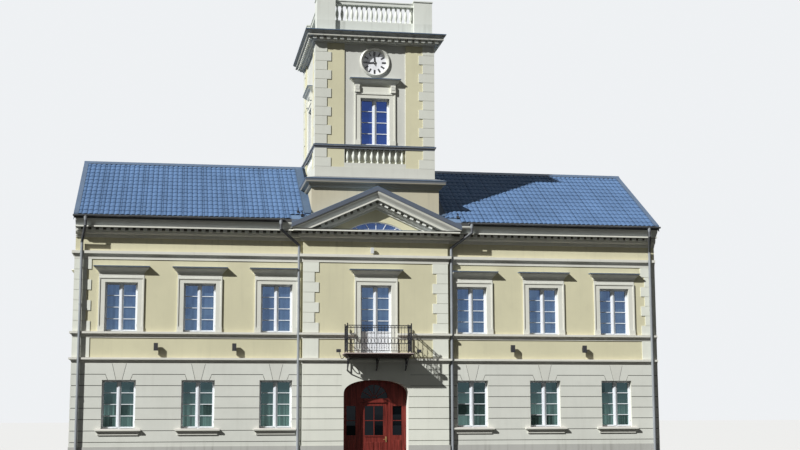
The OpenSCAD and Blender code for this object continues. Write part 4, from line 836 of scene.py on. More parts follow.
def tile_field(name, x0, x1, side, notches=()):
    """One slope of metal tiles from x0 to x1. A notch is a box in which no tile lies."""
    waves = round((x1 - x0) / WAVE)
    bm = bmesh.new()
    columns = waves * len(WAVE_PROFILE)
    bmesh.ops.create_grid(bm, x_segments=columns, y_segments=2 * courses - 1, size=0.5)
    for vert in bm.verts:
        row = round((vert.co.y + 0.5) * (2 * courses - 1))
        along = (row + 1) // 2 / courses
        x = x0 + (vert.co.x + 0.5) * (x1 - x0)
        wave = WAVE_PROFILE[round((-side * vert.co.x + 0.5) * columns) % len(WAVE_PROFILE)]
        lift = TILE_LIFT + WAVE_HEIGHT * wave + (STEP_HEIGHT if row % 2 == 0 else 0)
        foot = Vector((x, -eave_y * (1 - along), eave_z + (ridge_z - eave_z) * along))
        vert.co = foot + slope_normal * lift
    for low, high in notches:
        hidden = [f for f in bm.faces
                  if all(low[i] < f.calc_center_median()[i] < high[i] for i in (0, 1))]
        bmesh.ops.delete(bm, geom=hidden, context="FACES")
    if side > 0:
        bmesh.ops.rotate(bm, verts=bm.verts, cent=(0, 0, 0), matrix=Matrix.Rotation(math.pi, 3, "Z"))
    bmesh.ops.recalc_face_normals(bm, faces=bm.faces)
    bmesh.ops.solidify(bm, geom=list(bm.faces), thickness=SHEET)
    return finished(name, bm, roof_paint, smooth=40)


def on_slope(side):
    """The matrix from the slope's own axes to the model's."""
    up_slope = Vector((0, eave_y, ridge_z - eave_z)).normalized()
    turn = Matrix((Vector((1, 0, 0)), up_slope, slope_normal)).transposed().to_4x4()
    laid = Matrix.Translation((0, -eave_y, eave_z)) @ turn
    return laid if side < 0 else Matrix.Rotation(math.pi, 4, "Z") @ laid


base_low, base_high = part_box("tower_base")
ped_low, ped_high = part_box("pediment_roof")
roof_end = roof_high.x - VERGE_COVER
tile_start = base_high.x + FLASHING_WIDTH - TILES_OVER
ped_notch = ((ped_low.x - 0.02, -FAR), (ped_high.x + 0.02, base_low.y + 0.01))
tile_field("tiles_front_left", -roof_end, -tile_start, -1, [ped_notch])
tile_field("tiles_front_right", tile_start, roof_end, -1, [ped_notch])
back_notch = ((-tile_start, -base_high.y - FLASHING_WIDTH + TILES_OVER), (tile_start, FAR))
tile_field("tiles_back", -roof_end, roof_end, 1, [back_notch])

# %% [markdown]
# Where the waves end, at the eave and under the ridge cap, their hollows are closed with a dark strip, which
# is painted shade in the hollows. The waves stand out over it, so it shows as a row of short dark dashes.

# %% Strips of painted shade that close the waves
EAVE_STRIP, EAVE_FILL = (0.018, 0.026), 0.030
RIDGE_STRIP, RIDGE_FILL = (slope_length - 0.178, slope_length - 0.168), 0.045
STRIP_FOOT, BAY_GAP = 0.001, 0.03
beside_tower = ((-roof_end, -tile_start), (tile_start, roof_end))
beside_bay = ((-roof_end, ped_low.x - BAY_GAP), (BAY_GAP - ped_low.x, roof_end))
bm = bmesh.new()
for side, eaves in ((-1, beside_bay), (1, ((-roof_end, roof_end),))):
    made = []
    for x0, x1 in eaves:
        made += brick(bm, (x0, EAVE_STRIP[0], STRIP_FOOT), (x1, EAVE_STRIP[1], EAVE_FILL))
    for x0, x1 in beside_tower:
        made += brick(bm, (x0, RIDGE_STRIP[0], STRIP_FOOT), (x1, RIDGE_STRIP[1], RIDGE_FILL))
    bmesh.ops.transform(bm, matrix=on_slope(side), verts=made)
finished("wave_shade_strips", bm, iron)

# %% [markdown]
# ## Flat sheets on the roof
# Where the tiles meet the tower, flat sheets with a folded seam carry the rain past its foot, and their
# upstand is let into the plaster. Every sheet is a brick in the slope's own axes: along the eave, up the
# slope and away from it. One matrix lays it on the front slope and its half turn on the back one.

# %% Flashings at the tower
UPSTAND, UPSTAND_AT, UPSTAND_HALF = 0.12, 0.006, 0.004
FOLD_HALF, FOLD_HEIGHT = 0.012, 0.014
FLASHING_FOOT, SHEET_LIFT, TOWER_GAP, RIDGE_GAP = 0.001, 0.052, 0.002, 0.02
BEHIND_TOWER, BEHIND_LOWER = 0.42, 0.004
front_start = (eave_y + base_low.y) / eave_y * slope_length + 0.02
back_start = (eave_y - base_high.y - FLASHING_WIDTH) / eave_y * slope_length
sheet_end = slope_length - RIDGE_GAP
bm = bmesh.new()
for side, start in ((-1, front_start), (1, back_start)):
    made = []
    for sign in (-1, 1):
        wall, edge = sign * (base_high.x + UPSTAND_AT), sign * (base_high.x + FLASHING_WIDTH)
        x0, x1 = sorted((sign * (base_high.x + TOWER_GAP), edge))
        made += brick(bm, (x0, start, FLASHING_FOOT), (x1, sheet_end, SHEET_LIFT))
        made += brick(bm, (edge - FOLD_HALF, start, SHEET_LIFT),
                      (edge + FOLD_HALF, sheet_end, SHEET_LIFT + FOLD_HEIGHT))
        made += brick(bm, (wall - UPSTAND_HALF, start, SHEET_LIFT),
                      (wall + UPSTAND_HALF, sheet_end, UPSTAND + SHEET_LIFT))
    bmesh.ops.transform(bm, matrix=on_slope(side), verts=made)
behind = brick(bm, (-base_high.x, back_start, FLASHING_FOOT),
               (base_high.x, back_start + BEHIND_TOWER, SHEET_LIFT - BEHIND_LOWER))
bmesh.ops.transform(bm, matrix=on_slope(1), verts=behind)
finished("tower_flashings", bm, flashing)

# %% [markdown]
# The pediment's own little roof is plain sheet. Its front edge is folded up into a bright bead that runs up
# both slopes, and folded seams cross it. The bead is a rod, so it catches a line of light.

# %% Pediment seams and bead
BEAD, SEAM, SEAM_LIFT, SEAM_STEP = 0.016, 0.012, 0.004, 0.62
ped_peak = ped_high.z
ped_corner = [v.co for v in nodes["pediment_roof"].data.vertices if abs(v.co.y - ped_low.y) < 0.001]
ped_foot = max(corner.z for corner in ped_corner if corner.x > ped_high.x - 0.001)
ped_slope = (ped_peak - ped_foot) / ped_high.x
rise = Vector((0, 0, BEAD * 0.4))
bm = bmesh.new()
for sign in (-1, 1):
    rod(bm, Vector((sign * ped_high.x * 0.998, ped_low.y + BEAD, ped_foot)) + rise,
        Vector((0, ped_low.y + BEAD, ped_peak)) + rise, BEAD, 8)
    for i in range(1, int(ped_high.x / SEAM_STEP) + 1):
        x = sign * SEAM_STEP * i
        z = ped_peak - abs(x) * ped_slope + SEAM_LIFT
        rod(bm, (x, ped_low.y + 0.03, z), (x, ped_high.y - 0.02, z), SEAM, 6)
finished("pediment_bead", bm, flashing)
print(f"the pediment's roof falls {ped_slope:.3f} a metre, from {ped_peak:.2f} to {ped_foot:.2f}")

# %% [markdown]
# Low down on the roof, on both sides of the pediment, bent hooks stand out of the tiles, which hold a ladder
# when the roof is swept. Each is a flat foot and three rods: one rises from the foot, one reaches up the
# slope and the last bends back towards the tiles.

# %% Ladder hooks
HOOKS = ((-3.12, 0.62), (-2.98, 0.30), (3.36, 0.45))
HOOK_BAR, HOOK_REACH = 0.016, 0.10
bm = bmesh.new()
for x, along in HOOKS:
    made = brick(bm, (x - 0.05, along - HOOK_REACH, 0.01), (x + 0.05, along + HOOK_REACH, 0.062))
    made += rod(bm, (x, along, 0.05), (x, along - 0.02, 0.19), HOOK_BAR, 8)
    made += rod(bm, (x, along - 0.02, 0.185), (x, along + HOOK_REACH, 0.185), HOOK_BAR, 8)
    made += rod(bm, (x, along + HOOK_REACH, 0.19), (x, along + HOOK_REACH, 0.11), HOOK_BAR, 8)
    bmesh.ops.transform(bm, matrix=on_slope(-1), verts=made)
finished("ladder_hooks", bm, iron)

# %% [markdown]
# ## Gutters and downpipes
# Half-round gutters hang in straps. At the pediment and at the corners a small funnel takes the water into
# the pipe, and the pipe's lengths are pushed together with a wider collar at each joint. The straps are bars
# spun through half a turn under the gutter, then drawn in so that none is wider than the gutter.

# %% Gutter straps
STRAP_STEP, STRAP_END, STRAP_LIFT = 0.75, 0.15, 0.004
STRAP = (0.005, 0.028)
gutter_boxes = islands("gutters")
bm = bmesh.new()
for low, high in gutter_boxes:
    radius = (high.y - low.y) / 2
    run = high.x - low.x - 2 * STRAP_END
    count = round(run / STRAP_STEP)
    for i in range(count + 1):
        centre = Vector((low.x + STRAP_END + run * i / count, (low.y + high.y) / 2, high.z))
        made = bow(bm, centre, (0, 1, 0), radius + STRAP_LIFT, 180, 180, STRAP, 8)
        slim = radius / (radius + STRAP_LIFT + STRAP[0] / 2)
        bmesh.ops.scale(bm, vec=(1, slim, 1), space=Matrix.Translation(-centre), verts=made)
finished("gutter_straps", bm, zinc)

# %% Funnels and collars of the pipes
PIPE_RADIUS, PIPE_GAP, PIPE_OUT = 0.055, 0.004, 0.13
FUNNEL_TOP, FUNNEL_EDGE, FUNNEL_HEIGHT, FUNNEL_DROP = 0.070, 0.006, 0.13, 0.03
COLLARS, COLLAR_EDGE, COLLAR_HEIGHT = (2.85, 6.35), 0.007, 0.07
bm = bmesh.new()
for low, high in islands("downpipes"):
    sign_y = 1 if low.y + high.y > 0 else -1
    gutter_y = sign_y * (gutter_boxes[0][0].y + gutter_boxes[0][1].y) / -2
    outer, inner = (low.x, high.x) if low.x + high.x < 0 else (high.x, low.x)
    by_bay = abs(inner) < bay_half + 0.3
    top_end, wall_end = (outer, inner) if by_bay else (inner, outer)
    reach = math.copysign(PIPE_RADIUS + PIPE_GAP, outer) * (1 if by_bay else -1)
    top_x, wall_x = top_end - reach, wall_end + reach
    rod(bm, (top_x, gutter_y, high.z - FUNNEL_HEIGHT - FUNNEL_DROP), (top_x, gutter_y, high.z - FUNNEL_DROP),
        PIPE_RADIUS + FUNNEL_EDGE, 20, FUNNEL_TOP)
    wall_y = sign_y * (abs(back_face) + PIPE_OUT)
    for z in COLLARS:
        rod(bm, (wall_x, wall_y, z), (wall_x, wall_y, z + COLLAR_HEIGHT), PIPE_RADIUS + COLLAR_EDGE, 20)
finished("pipe_funnels", bm, pipe_metal)

# %% [markdown]
# ## Sheet metal on the mouldings
# Every hood over a window but those of the left end wall, the shelf of the pediment and the ledges of the
# tower wear a strip of folded sheet whose lip hangs over the edge. It keeps the rain off the plaster, and
# from below it draws a thin grey line along the moulding. A lip is three thin bricks round a box.

# %% Lips of sheet metal
LIP, LIP_OUT, LIP_RISE, LIP_DROP = 0.005, 0.006, 0.004, 0.032
HOOD_FRONT_TOP = 0.92


def slab_at(bm, axis, along, across, heights):
    """A brick from its ranges: along a level axis (0 is X, 1 is Y), across it, and upwards."""
    ranges = [None, None, heights]
    ranges[axis], ranges[1 - axis] = along, across
    return brick(bm, [r[0] for r in ranges], [r[1] for r in ranges])


def lip(bm, low, high, top, axis, way):
    """A lip round the three outer sides of a moulding, which looks one way (-1 or 1) along a level axis."""
    heights = (top - LIP_DROP, top + LIP_RISE)
    face = (low if way < 0 else high)[axis] + way * LIP_OUT
    wall = (high if way < 0 else low)[axis]
    turn = face - way * LIP
    start, end = low[1 - axis] - LIP_OUT, high[1 - axis] + LIP_OUT
    slab_at(bm, axis, sorted((face, turn)), (start, end), heights)
    for side in (start, end - LIP):
        slab_at(bm, axis, sorted((turn, wall)), (side, side + LIP), heights)


def facing_of(low, high, middle_y):
    """The level axis along which a piece on an outer wall looks, and the way."""
    centre = (low + high) / 2
    if high.x - low.x > high.y - low.y:
        return 1, (1 if centre.y > middle_y else -1)
    return 0, (1 if centre.x > 0 else -1)


bm = bmesh.new()
for low, high in islands("window_hoods"):
    if low.x < model_box[0][0] + LIP:
        continue  # the end wall's hoods already reach the model's widest point
    middle_y = tower_middle if low.z > ridge_z else 0
    lip(bm, low, high, low.z + (high.z - low.z) * HOOD_FRONT_TOP, *facing_of(low, high, middle_y))
finished("hood_lips", bm, flashing)

# %% [markdown]
# On each side of the tower two consoles carry the window's hood, and a small square rosette sits on each. It
# is a flat brick whose broad faces are inset and pushed in one by one, so that a rim is left standing.

# %% Rosettes on the consoles
CONSOLE_X, CONSOLE_FACE, ROSETTE_Z, ROSETTE = 0.74, 0.11, 15.36, 0.062
ROSETTE_BACK, ROSETTE_FRONT, ROSETTE_RIM, ROSETTE_SINK = 0.001, 0.014, 0.02, 0.007
BROAD_FACE = 0.01
panel_low, panel_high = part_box("tower_panels")
heights = (ROSETTE_Z - ROSETTE, ROSETTE_Z + ROSETTE)
bm = bmesh.new()
for sign in (-1, 1):
    for axis, middle in ((1, 0), (0, tower_middle)):
        centre = middle + sign * CONSOLE_X
        for face, out in ((panel_low[axis], -1), (panel_high[axis], 1)):
            depth = sorted(face + out * (CONSOLE_FACE + d) for d in (ROSETTE_BACK, ROSETTE_FRONT))
            slab_at(bm, axis, depth, (centre - ROSETTE, centre + ROSETTE), heights)
fronts = [f for f in bm.faces if f.calc_area() > BROAD_FACE]
bmesh.ops.inset_individual(bm, faces=fronts, thickness=ROSETTE_RIM, depth=-ROSETTE_SINK)
finished("console_rosettes", bm, panel_plaster)

# %% [markdown]
# Along the foot of the pediment a strip of sheet stands up against the wall, so that rain on the shelf can't
# soak into the plaster.

# %% Upstand over the pediment's shelf
SHELF_OUT, SHELF_FOOT, SHELF_TOP = 0.012, 0.05, 0.085
shelf_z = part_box("tympanum")[0].z
bm = bmesh.new()
brick(bm, (-bay_half, bay_face - SHELF_OUT, shelf_z + SHELF_FOOT),
      (bay_half, bay_face - 0.001, shelf_z + SHELF_TOP))
finished("shelf_upstand", bm, flashing)

# %% [markdown]
# The tower's two ledges and its crown wear the same kind of strip all the way round. The lowest ledge runs
# into the roof, so its strip stops where the slope meets it.

# %% Edges of the tower's ledges
def rim(bm, low, high, z0, z1, out, side_end=None):
    """A strip round a box: the front, both sides up to side_end, and the back where side_end is None."""
    end = high.y + out if side_end is None else side_end
    brick(bm, (low.x - out, low.y - out, z0), (high.x + out, low.y - out + LIP, z1))
    if side_end is None:
        brick(bm, (low.x - out, high.y + out - LIP, z0), (high.x + out, high.y + out, z1))
    for x in (low.x - out, high.x + out - LIP):
        brick(bm, (x, low.y - out + LIP, z0), (x + LIP, end - (LIP if side_end is None else 0), z1))


BASE_EDGE, SILL_EDGE, CROWN_EDGE = 0.36, 0.153, (-0.125, -0.088)
EDGE_OUT = 0.004
bm = bmesh.new()
base_ledge, sill_ledge = sorted(islands("tower_ledges"), key=lambda box: box[0].z)
low, high = base_ledge
base_edge = low.z + BASE_EDGE
meets_roof = -(ridge_z - base_edge) / (ridge_z - eave_z) * eave_y - 0.08
rim(bm, low, high, base_edge - 0.04, base_edge + 0.004, EDGE_OUT, meets_roof)
low, high = sill_ledge
rim(bm, low, high, low.z + SILL_EDGE - 0.03, low.z + SILL_EDGE + 0.002, EDGE_OUT)
rim(bm, crown_low, crown_high, crown_high.z + CROWN_EDGE[0], crown_high.z + CROWN_EDGE[1], EDGE_OUT)
finished("ledge_edges", bm, flashing)

# %% [markdown]
# ## Window sashes
# Every window has two casements with three thin bars each, a cover strip where they meet and a weather bar at
# the bottom. All of them are the same few bricks, drawn once in the window's own axes: X to the right as seen
# from outside, Y into the wall, Z up. A matrix then sets them in their wall. The balcony's door is the same
# with a closed lower part, which gets two raised panels.

# %% Window sashes
FRAME_SIDE, MULLION_HALF, COVER_HALF = 0.025, 0.0525, 0.026
SASH_RIM, BAR, SASH_BARS = 0.032, 0.028, 3
SASH_DEPTH, BAR_DEPTH, COVER_DEPTH = (-0.052, -0.002), (-0.044, -0.004), (-0.086, -0.066)
WEATHER_DEPTH, WEATHER_HALF, WEATHER_OVER = (-0.094, -0.062), 0.02, 0.01
HINGE_END, HINGE_HALF, HINGE_RADIUS, HINGE_OUT, HINGE_Y = 0.22, 0.035, 0.011, 0.012, -0.078


def wall_matrix(low, high, middle_y):
    """The matrix from a pane's own axes to the model's. The origin is outside, at the middle of its foot."""
    axis, way = facing_of(low, high, middle_y)
    origin = (low + high) / 2
    origin.z = low.z
    origin[axis] = (low if way < 0 else high)[axis]
    inward, sky = Vector((0, 0, 0)), Vector((0, 0, 1))
    inward[axis] = -way
    return Matrix.Translation(origin) @ Matrix((inward.cross(sky), inward, sky)).transposed().to_4x4()


def sash(bm, width, height):
    """Both casements of a window, in the window's own axes."""
    made = []
    side = width / 2 - FRAME_SIDE
    z0, z1 = FRAME_SIDE, height - FRAME_SIDE
    for sign in (-1, 1):
        x0, x1 = sorted((sign * MULLION_HALF, sign * side))
        for left, right, foot, top in ((x0, x0 + SASH_RIM, z0, z1), (x1 - SASH_RIM, x1, z0, z1),
                                       (x0, x1, z0, z0 + SASH_RIM), (x0, x1, z1 - SASH_RIM, z1)):
            made += brick(bm, (left, SASH_DEPTH[0], foot), (right, SASH_DEPTH[1], top))
        for i in range(1, SASH_BARS + 1):
            z = z0 + (z1 - z0) * i / (SASH_BARS + 1)
            made += brick(bm, (x0, BAR_DEPTH[0], z - BAR / 2), (x1, BAR_DEPTH[1], z + BAR / 2))
        made += brick(bm, (x0 - WEATHER_OVER, WEATHER_DEPTH[0], z0 - WEATHER_HALF),
                      (x1 + WEATHER_OVER, WEATHER_DEPTH[1], z0 + WEATHER_HALF))
        hinge = sign * (side + HINGE_OUT)
        for z in (z0 + HINGE_END, z1 - HINGE_END):
            made += rod(bm, (hinge, HINGE_Y, z - HINGE_HALF), (hinge, HINGE_Y, z + HINGE_HALF), HINGE_RADIUS)
    made += brick(bm, (-COVER_HALF, COVER_DEPTH[0], z0), (COVER_HALF, COVER_DEPTH[1], z1))
    return made


def sash_piece(name, panes):
    """The casements of many windows, as one piece."""
    bm = bmesh.new()
    for low, high in panes:
        middle_y = tower_middle if low.z > ridge_z else 0
        made = sash(bm, max(high.x - low.x, high.y - low.y), high.z - low.z)
        bmesh.ops.transform(bm, matrix=wall_matrix(low, high, middle_y), verts=made)
    return finished(name, bm, white_paint)


FAN_WIDTHS = (0.5, 1.15)
ground_boxes = islands("ground_glass")
upper_panes = [box for box in islands("upper_glass") if box[1].z - box[0].z > 1]
ground_panes = [box for box in ground_boxes
                if box[1].x - box[0].x > FAN_WIDTHS[1] or abs(box[0].x) > bay_half]
sash_piece("upper_sashes", upper_panes)
sash_piece("ground_sashes", ground_panes)
print(len(upper_panes), "upper windows,", len(ground_panes), "ground windows")

# %% Panels of the balcony's door
PANEL_TOP, PANEL_FOOT, PANEL_EDGE, PANEL_OUT = 5.24, 4.68, 0.10, 0.012
COVER_FOOT, COVER_TOP, COVER_OUT = 4.56, 5.40, 0.018
door_low, door_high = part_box("balcony_door")
door_face = door_low.y - 0.001
bm = bmesh.new()
for sign in (-1, 1):
    x0, x1 = sorted((sign * (MULLION_HALF + PANEL_EDGE), sign * (door_high.x - PANEL_EDGE)))
    panel = set(brick(bm, (x0, door_low.y - PANEL_OUT, PANEL_FOOT), (x1, door_face, PANEL_TOP)))
    outer = [f for f in bm.faces
             if set(f.verts) <= panel and f.calc_center_median().y < door_low.y - PANEL_OUT + 0.001]
    bmesh.ops.inset_region(bm, faces=outer, thickness=0.03, depth=-0.008)
brick(bm, (-COVER_HALF, door_low.y - COVER_OUT, COVER_FOOT), (COVER_HALF, door_face, COVER_TOP))
finished("balcony_door_panels", bm, white_paint)

# %% [markdown]
# ## The fan of the pediment's window
# The low round window in the pediment has bars that spread from a point below its sill. Each bar is a brick
# that is turned about that point and ends under the frame, so its length follows from the arch.

# %% Bars of the pediment's window
FAN_DEPTH, FAN_ANGLES = 0.46, (-56, -30, 0, 30, 56)
FAN_BAR, FAN_THICK = 0.014, 0.012
lunette_low, lunette_high = next(box for box in islands("upper_glass") if box[1].z - box[0].z < 1)
lunette_half, lunette_rise = lunette_high.x, lunette_high.z - lunette_low.z
arch_radius = (lunette_half ** 2 + lunette_rise ** 2) / (2 * lunette_rise)
centre_gap = arch_radius - lunette_rise - FAN_DEPTH
foot = Vector((0, lunette_low.y - FAN_THICK, lunette_low.z - FAN_DEPTH))
bm = bmesh.new()
for turn in map(math.radians, FAN_ANGLES):
    way = Vector((math.sin(turn), 0, math.cos(turn)))
    first = FAN_DEPTH / way.z
    last = -way.z * centre_gap + math.sqrt(max(arch_radius ** 2 - (way.x * centre_gap) ** 2, 0))
    bar = brick(bm, (-FAN_BAR, -FAN_THICK, first), (FAN_BAR, FAN_THICK, last - FAN_THICK))
    bmesh.ops.rotate(bm, verts=bar, cent=(0, 0, 0), matrix=Matrix.Rotation(turn, 3, "Y"))
    bmesh.ops.translate(bm, verts=bar, vec=foot)
finished("pediment_fan", bm, white_paint)

# %% [markdown]
# ## The entrance
# The door and its frame are joinery with raised panels below and glass above, and a fan of bars in the arch.
# A raised panel is a thin brick whose outer face is inset and pulled forward. What belongs to the leaf rides
# on the leaf, so that it swings with it.

# %% Raised panels and bars of the leaf
PANEL_LIFT, PANEL_BORDER, PANEL_SLOPE, BACK_GAP = 0.012, 0.03, 0.008, 0.0005
PANEL_Z0, LEAF_PANEL_Z1, SIDE_PANEL_Z1 = 0.34, 1.08, 1.16
LEAF_MIDDLE, LEAF_MARGIN, SIDE_MARGIN = 0.035, 0.01, 0.02
MID_BAR, BAR_HALF, PANE_GAP = 1.915, 0.016, 0.002
UPRIGHT_OUT, CROSS_OUT = 0.020, 0.018
LEDGE_OUT, LEDGE_FOOT, LEDGE_TOP = 0.022, 0.055, 0.015
LEAF_FACE, FRAME_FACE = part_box("entrance_door")[0].y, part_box("entrance_frame")[0].y


def raised_panel(bm, x0, x1, z1, face_y):
    """A panel on a face that looks to the front, up to the height z1."""
    known = set(bm.faces)
    brick(bm, (x0, face_y - PANEL_LIFT, PANEL_Z0), (x1, face_y - BACK_GAP, z1))
    outer = [f for f in bm.faces
             if f not in known and f.calc_center_median().y < face_y - PANEL_LIFT + BACK_GAP]
    bmesh.ops.inset_region(bm, faces=outer, thickness=PANEL_BORDER, depth=PANEL_SLOPE)


pane_low, pane_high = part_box("door_glass")
bar_back = pane_low.y - PANE_GAP
bm = bmesh.new()
for sign in (-1, 1):
    x0, x1 = sorted((sign * LEAF_MIDDLE, sign * (pane_high.x - LEAF_MARGIN)))
    raised_panel(bm, x0, x1, LEAF_PANEL_Z1, LEAF_FACE)
brick(bm, (-BAR_HALF, pane_low.y - UPRIGHT_OUT, pane_low.z), (BAR_HALF, bar_back, pane_high.z))
brick(bm, (pane_low.x, pane_low.y - CROSS_OUT, MID_BAR - BAR_HALF),
      (pane_high.x, bar_back, MID_BAR + BAR_HALF))
brick(bm, (pane_low.x, LEAF_FACE - LEDGE_OUT, pane_low.z - LEDGE_FOOT),
      (pane_high.x, LEAF_FACE - BACK_GAP, pane_low.z - LEDGE_TOP))
finished("leaf_panels", bm, brown_varnish, "door")

# %% [markdown]
# Beside the leaf the frame holds two narrow lights with a panel below, and in the arch a fan whose spokes
# start at a half ring. Neither moves, so these pieces belong to the building.

# %% Side lights and fan
SPOKES, SPOKE_START, SPOKE_HALF, SPOKE_OUT = (30, 60, 90, 120, 150), 0.10, 0.013, 0.03
HUB_RADIUS, HUB_BAR, HUB_OUT = 0.11, (0.028, 0.026), 0.016
side_panes = [box for box in ground_boxes if box[1].x - box[0].x < FAN_WIDTHS[0]]
fan_low, fan_high = next(box for box in ground_boxes
                         if FAN_WIDTHS[0] < box[1].x - box[0].x < FAN_WIDTHS[1] and abs(box[0].x) < 1)
fan_radius = fan_high.z - fan_low.z
bm = bmesh.new()
for low, high in side_panes:
    brick(bm, (low.x, low.y - SPOKE_OUT, MID_BAR - BAR_HALF), (high.x, low.y - PANE_GAP, MID_BAR + BAR_HALF))
    raised_panel(bm, low.x + SIDE_MARGIN, high.x - SIDE_MARGIN, SIDE_PANEL_Z1, FRAME_FACE)
for degrees in SPOKES:
    bar = brick(bm, (SPOKE_START, -SPOKE_OUT, -SPOKE_HALF), (fan_radius - 0.01, -PANE_GAP, SPOKE_HALF))
    bmesh.ops.rotate(bm, verts=bar, cent=(0, 0, 0), matrix=Matrix.Rotation(math.radians(-degrees), 3, "Y"))
    bmesh.ops.translate(bm, verts=bar, vec=(0, fan_low.y, fan_low.z))
bow(bm, (0, fan_low.y - HUB_OUT, fan_low.z), (1, 0, 0), HUB_RADIUS, 0, 180, HUB_BAR, 10)
finished("entrance_bars", bm, brown_varnish)

# %% [markdown]
# ## The clock
# The dial sits at the bottom of a wide sloping rim, which is a triangle spun round the arbor's axis. Over the
# dial lies a thin disc with its own enamel, so that its paint can age apart from the rim's.

# %% Dial and rim
DIAL_FACE, PAINT = -4.10, 0.001
RIM_OUTER, RIM_INNER, DISC_UNDER = 0.554, 0.492, 0.002
CLOCK_SIDES = 96
dial_low, dial_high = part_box("clock_dial")
clock_z = (dial_low.z + dial_high.z) / 2
painted_y = DIAL_FACE - PAINT
bm = bmesh.new()
profile = [(RIM_OUTER, dial_low.y + 0.006), (RIM_OUTER, painted_y), (RIM_INNER, painted_y)]
corners = [bm.verts.new((x, y, clock_z)) for x, y in profile]
edges = [bm.edges.new((corners[i], corners[(i + 1) % 3])) for i in range(3)]
bmesh.ops.spin(bm, geom=corners + edges, cent=(0, 0, clock_z), axis=(0, 1, 0), angle=math.tau,
               steps=CLOCK_SIDES, use_merge=True)
finished("clock_bevel", bm, rim_enamel, smooth=40)

bm = bmesh.new()
upright = Matrix.Translation((0, painted_y, clock_z)) @ Matrix.Rotation(math.pi / 2, 4, "X")
bmesh.ops.create_cone(bm, cap_ends=True, segments=CLOCK_SIDES, radius1=RIM_INNER + DISC_UNDER,
                      radius2=RIM_INNER + DISC_UNDER, depth=PAINT, matrix=upright)
finished("clock_face", bm, dial_enamel)

# %% [markdown]
# The hours are black strokes, longer than they are wide, and a little wider at the quarters. They are one
# brick turned twelve times. Both hands turn in front of them on one arbor, which the model has already.

# %% Strokes of the hours
STROKE_INNER, STROKE_OUTER, STROKE_WIDTH, QUARTER_WIDER = 0.30, 0.472, 0.066, 1.15
STROKE_FRONT, STROKE_BACK = DIAL_FACE - 0.0045, DIAL_FACE - 0.0016
hour_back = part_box("clock_hour_hand")[1].y
bm = bmesh.new()
for hour in range(12):
    half = STROKE_WIDTH / 2 * (QUARTER_WIDER if hour % 3 == 0 else 1)
    stroke = brick(bm, (-half, STROKE_FRONT, STROKE_INNER), (half, STROKE_BACK, STROKE_OUTER))
    bmesh.ops.rotate(bm, verts=stroke, cent=(0, 0, 0), matrix=Matrix.Rotation(math.tau * hour / 12, 3, "Y"))
    bmesh.ops.translate(bm, verts=stroke, vec=(0, 0, clock_z))
finished("hour_strokes", bm, dial_black)
print(f"the hour hand's back is {STROKE_FRONT - hour_back:.3f} m in front of the strokes")

# %% [markdown]
# ## The balcony
# The railing of the model has its posts, rails and upright bars. The smith's work goes between them: a row of
# rings under the hand rail, ovals above the lower rail, and a knob on each bar. Rings are bars spun through a
# whole turn, and the ovals are rings that are drawn out upwards.

# %% Ironwork of the railing
RAIL_FRONT, RAIL_BACK, RAIL_SIDE = -5.445, -4.685, 1.26
BARS_FOOT, LOWER_RAIL, MIDDLE_RAIL, BAND_FOOT, BAND_TOP = 4.59, 4.876, 5.12, 5.491, 5.585
FRONT_FIELDS, SIDE_FIELDS = 19, 6
RAIL_HALF, RING_BAR = 0.006, (0.010, 0.010)
RING_Z, RING_RADIUS = (BAND_FOOT + BAND_TOP) / 2, (BAND_TOP - BAND_FOOT) / 2 - 0.006
OVAL_Z, OVAL_GAP, OVAL_OVER = (LOWER_RAIL + MIDDLE_RAIL) / 2, 0.012, 1.06
KNOBS = (((BARS_FOOT + LOWER_RAIL) / 2, 0.017), ((MIDDLE_RAIL + BAND_FOOT) / 2, 0.015))
KNOB_STRETCH, FINIAL = 1.6, 0.03
rail_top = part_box("balcony_railing")[1].z


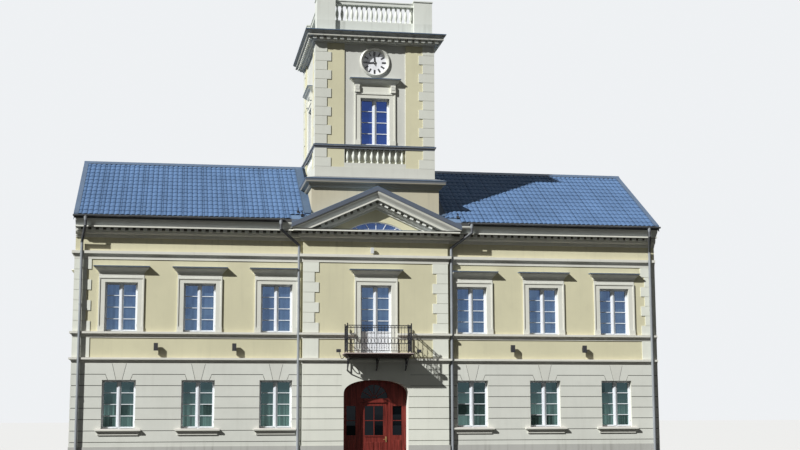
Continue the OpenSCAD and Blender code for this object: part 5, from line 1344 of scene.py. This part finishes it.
def railing_fields(bm, start, end, fields):
    """Fills the fields of one side of the railing."""
    start, end = Vector(start), Vector(end)
    across = (end - start).normalized()
    pitch = (end - start).length / fields
    half = Vector((RAIL_HALF,) * 3) - Vector((abs(across.x), abs(across.y), 0)) * RAIL_HALF
    brick(bm, Vector((min(start.x, end.x), min(start.y, end.y), MIDDLE_RAIL)) - half,
          Vector((max(start.x, end.x), max(start.y, end.y), MIDDLE_RAIL)) + half)
    for i in range(fields):
        centre = start + across * pitch * (i + 0.5)
        bow(bm, (centre.x, centre.y, RING_Z), across, RING_RADIUS, size=RING_BAR, steps=12)
        oval = bow(bm, (centre.x, centre.y, OVAL_Z), across, pitch / 2 - OVAL_GAP, size=RING_BAR, steps=14)
        bmesh.ops.scale(bm, verts=oval, vec=(1, 1, (MIDDLE_RAIL - LOWER_RAIL) / pitch * OVAL_OVER),
                        space=Matrix.Translation((-centre.x, -centre.y, -OVAL_Z)))
        if i:
            bar = start + across * pitch * i
            for z, radius in KNOBS:
                pebble(bm, (bar.x, bar.y, z), radius, KNOB_STRETCH)


bm = bmesh.new()
railing_fields(bm, (-RAIL_SIDE, RAIL_FRONT, 0), (RAIL_SIDE, RAIL_FRONT, 0), FRONT_FIELDS)
for sign in (-1, 1):
    railing_fields(bm, (sign * RAIL_SIDE, RAIL_FRONT, 0), (sign * RAIL_SIDE, RAIL_BACK, 0), SIDE_FIELDS)
    for y in (RAIL_FRONT, RAIL_BACK):
        pebble(bm, (sign * RAIL_SIDE, y, rail_top + 0.02), FINIAL)
finished("railing_ironwork", bm, iron, smooth=50)

# %% [markdown]
# A small lamp stands out from each end of the slab on a bent arm and lights the wall over the arch.

# %% Lamps of the balcony
LAMP_OUT, LAMP_UP, LAMP_Y, LAMP_HALF = 0.24, 0.20, -5.30, (0.085, 0.06, 0.06)
ARM_OUT, ARM_DROP, ARM_BAR = 0.13, 0.11, (0.022, 0.022)
slab_low, slab_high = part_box("balcony_slab")
bm = bmesh.new()
for sign in (-1, 1):
    root = Vector((sign * slab_high.x, LAMP_Y, slab_low.z + 0.06))
    bend = root + Vector((sign * ARM_OUT, 0, 0))
    head = root + Vector((sign * LAMP_OUT, 0, LAMP_UP))
    bow(bm, bend, (1, 0, 0), ARM_DROP, 180 if sign > 0 else 270, 90, ARM_BAR, 8)
    rod(bm, root, root + Vector((sign * 0.03, 0, 0)), 0.03, 12)
    rod(bm, bend - Vector((0, 0, ARM_DROP)), head, ARM_BAR[0] / 2, 8)
    case = brick(bm, head - Vector(LAMP_HALF), head + Vector(LAMP_HALF))
    edges = [e for e in bm.edges if set(e.verts) <= set(case)]
    bmesh.ops.bevel(bm, geom=edges, offset=0.012, affect="EDGES", segments=2, profile=0.5, material=-1)
finished("balcony_lamps", bm, lamp_black)
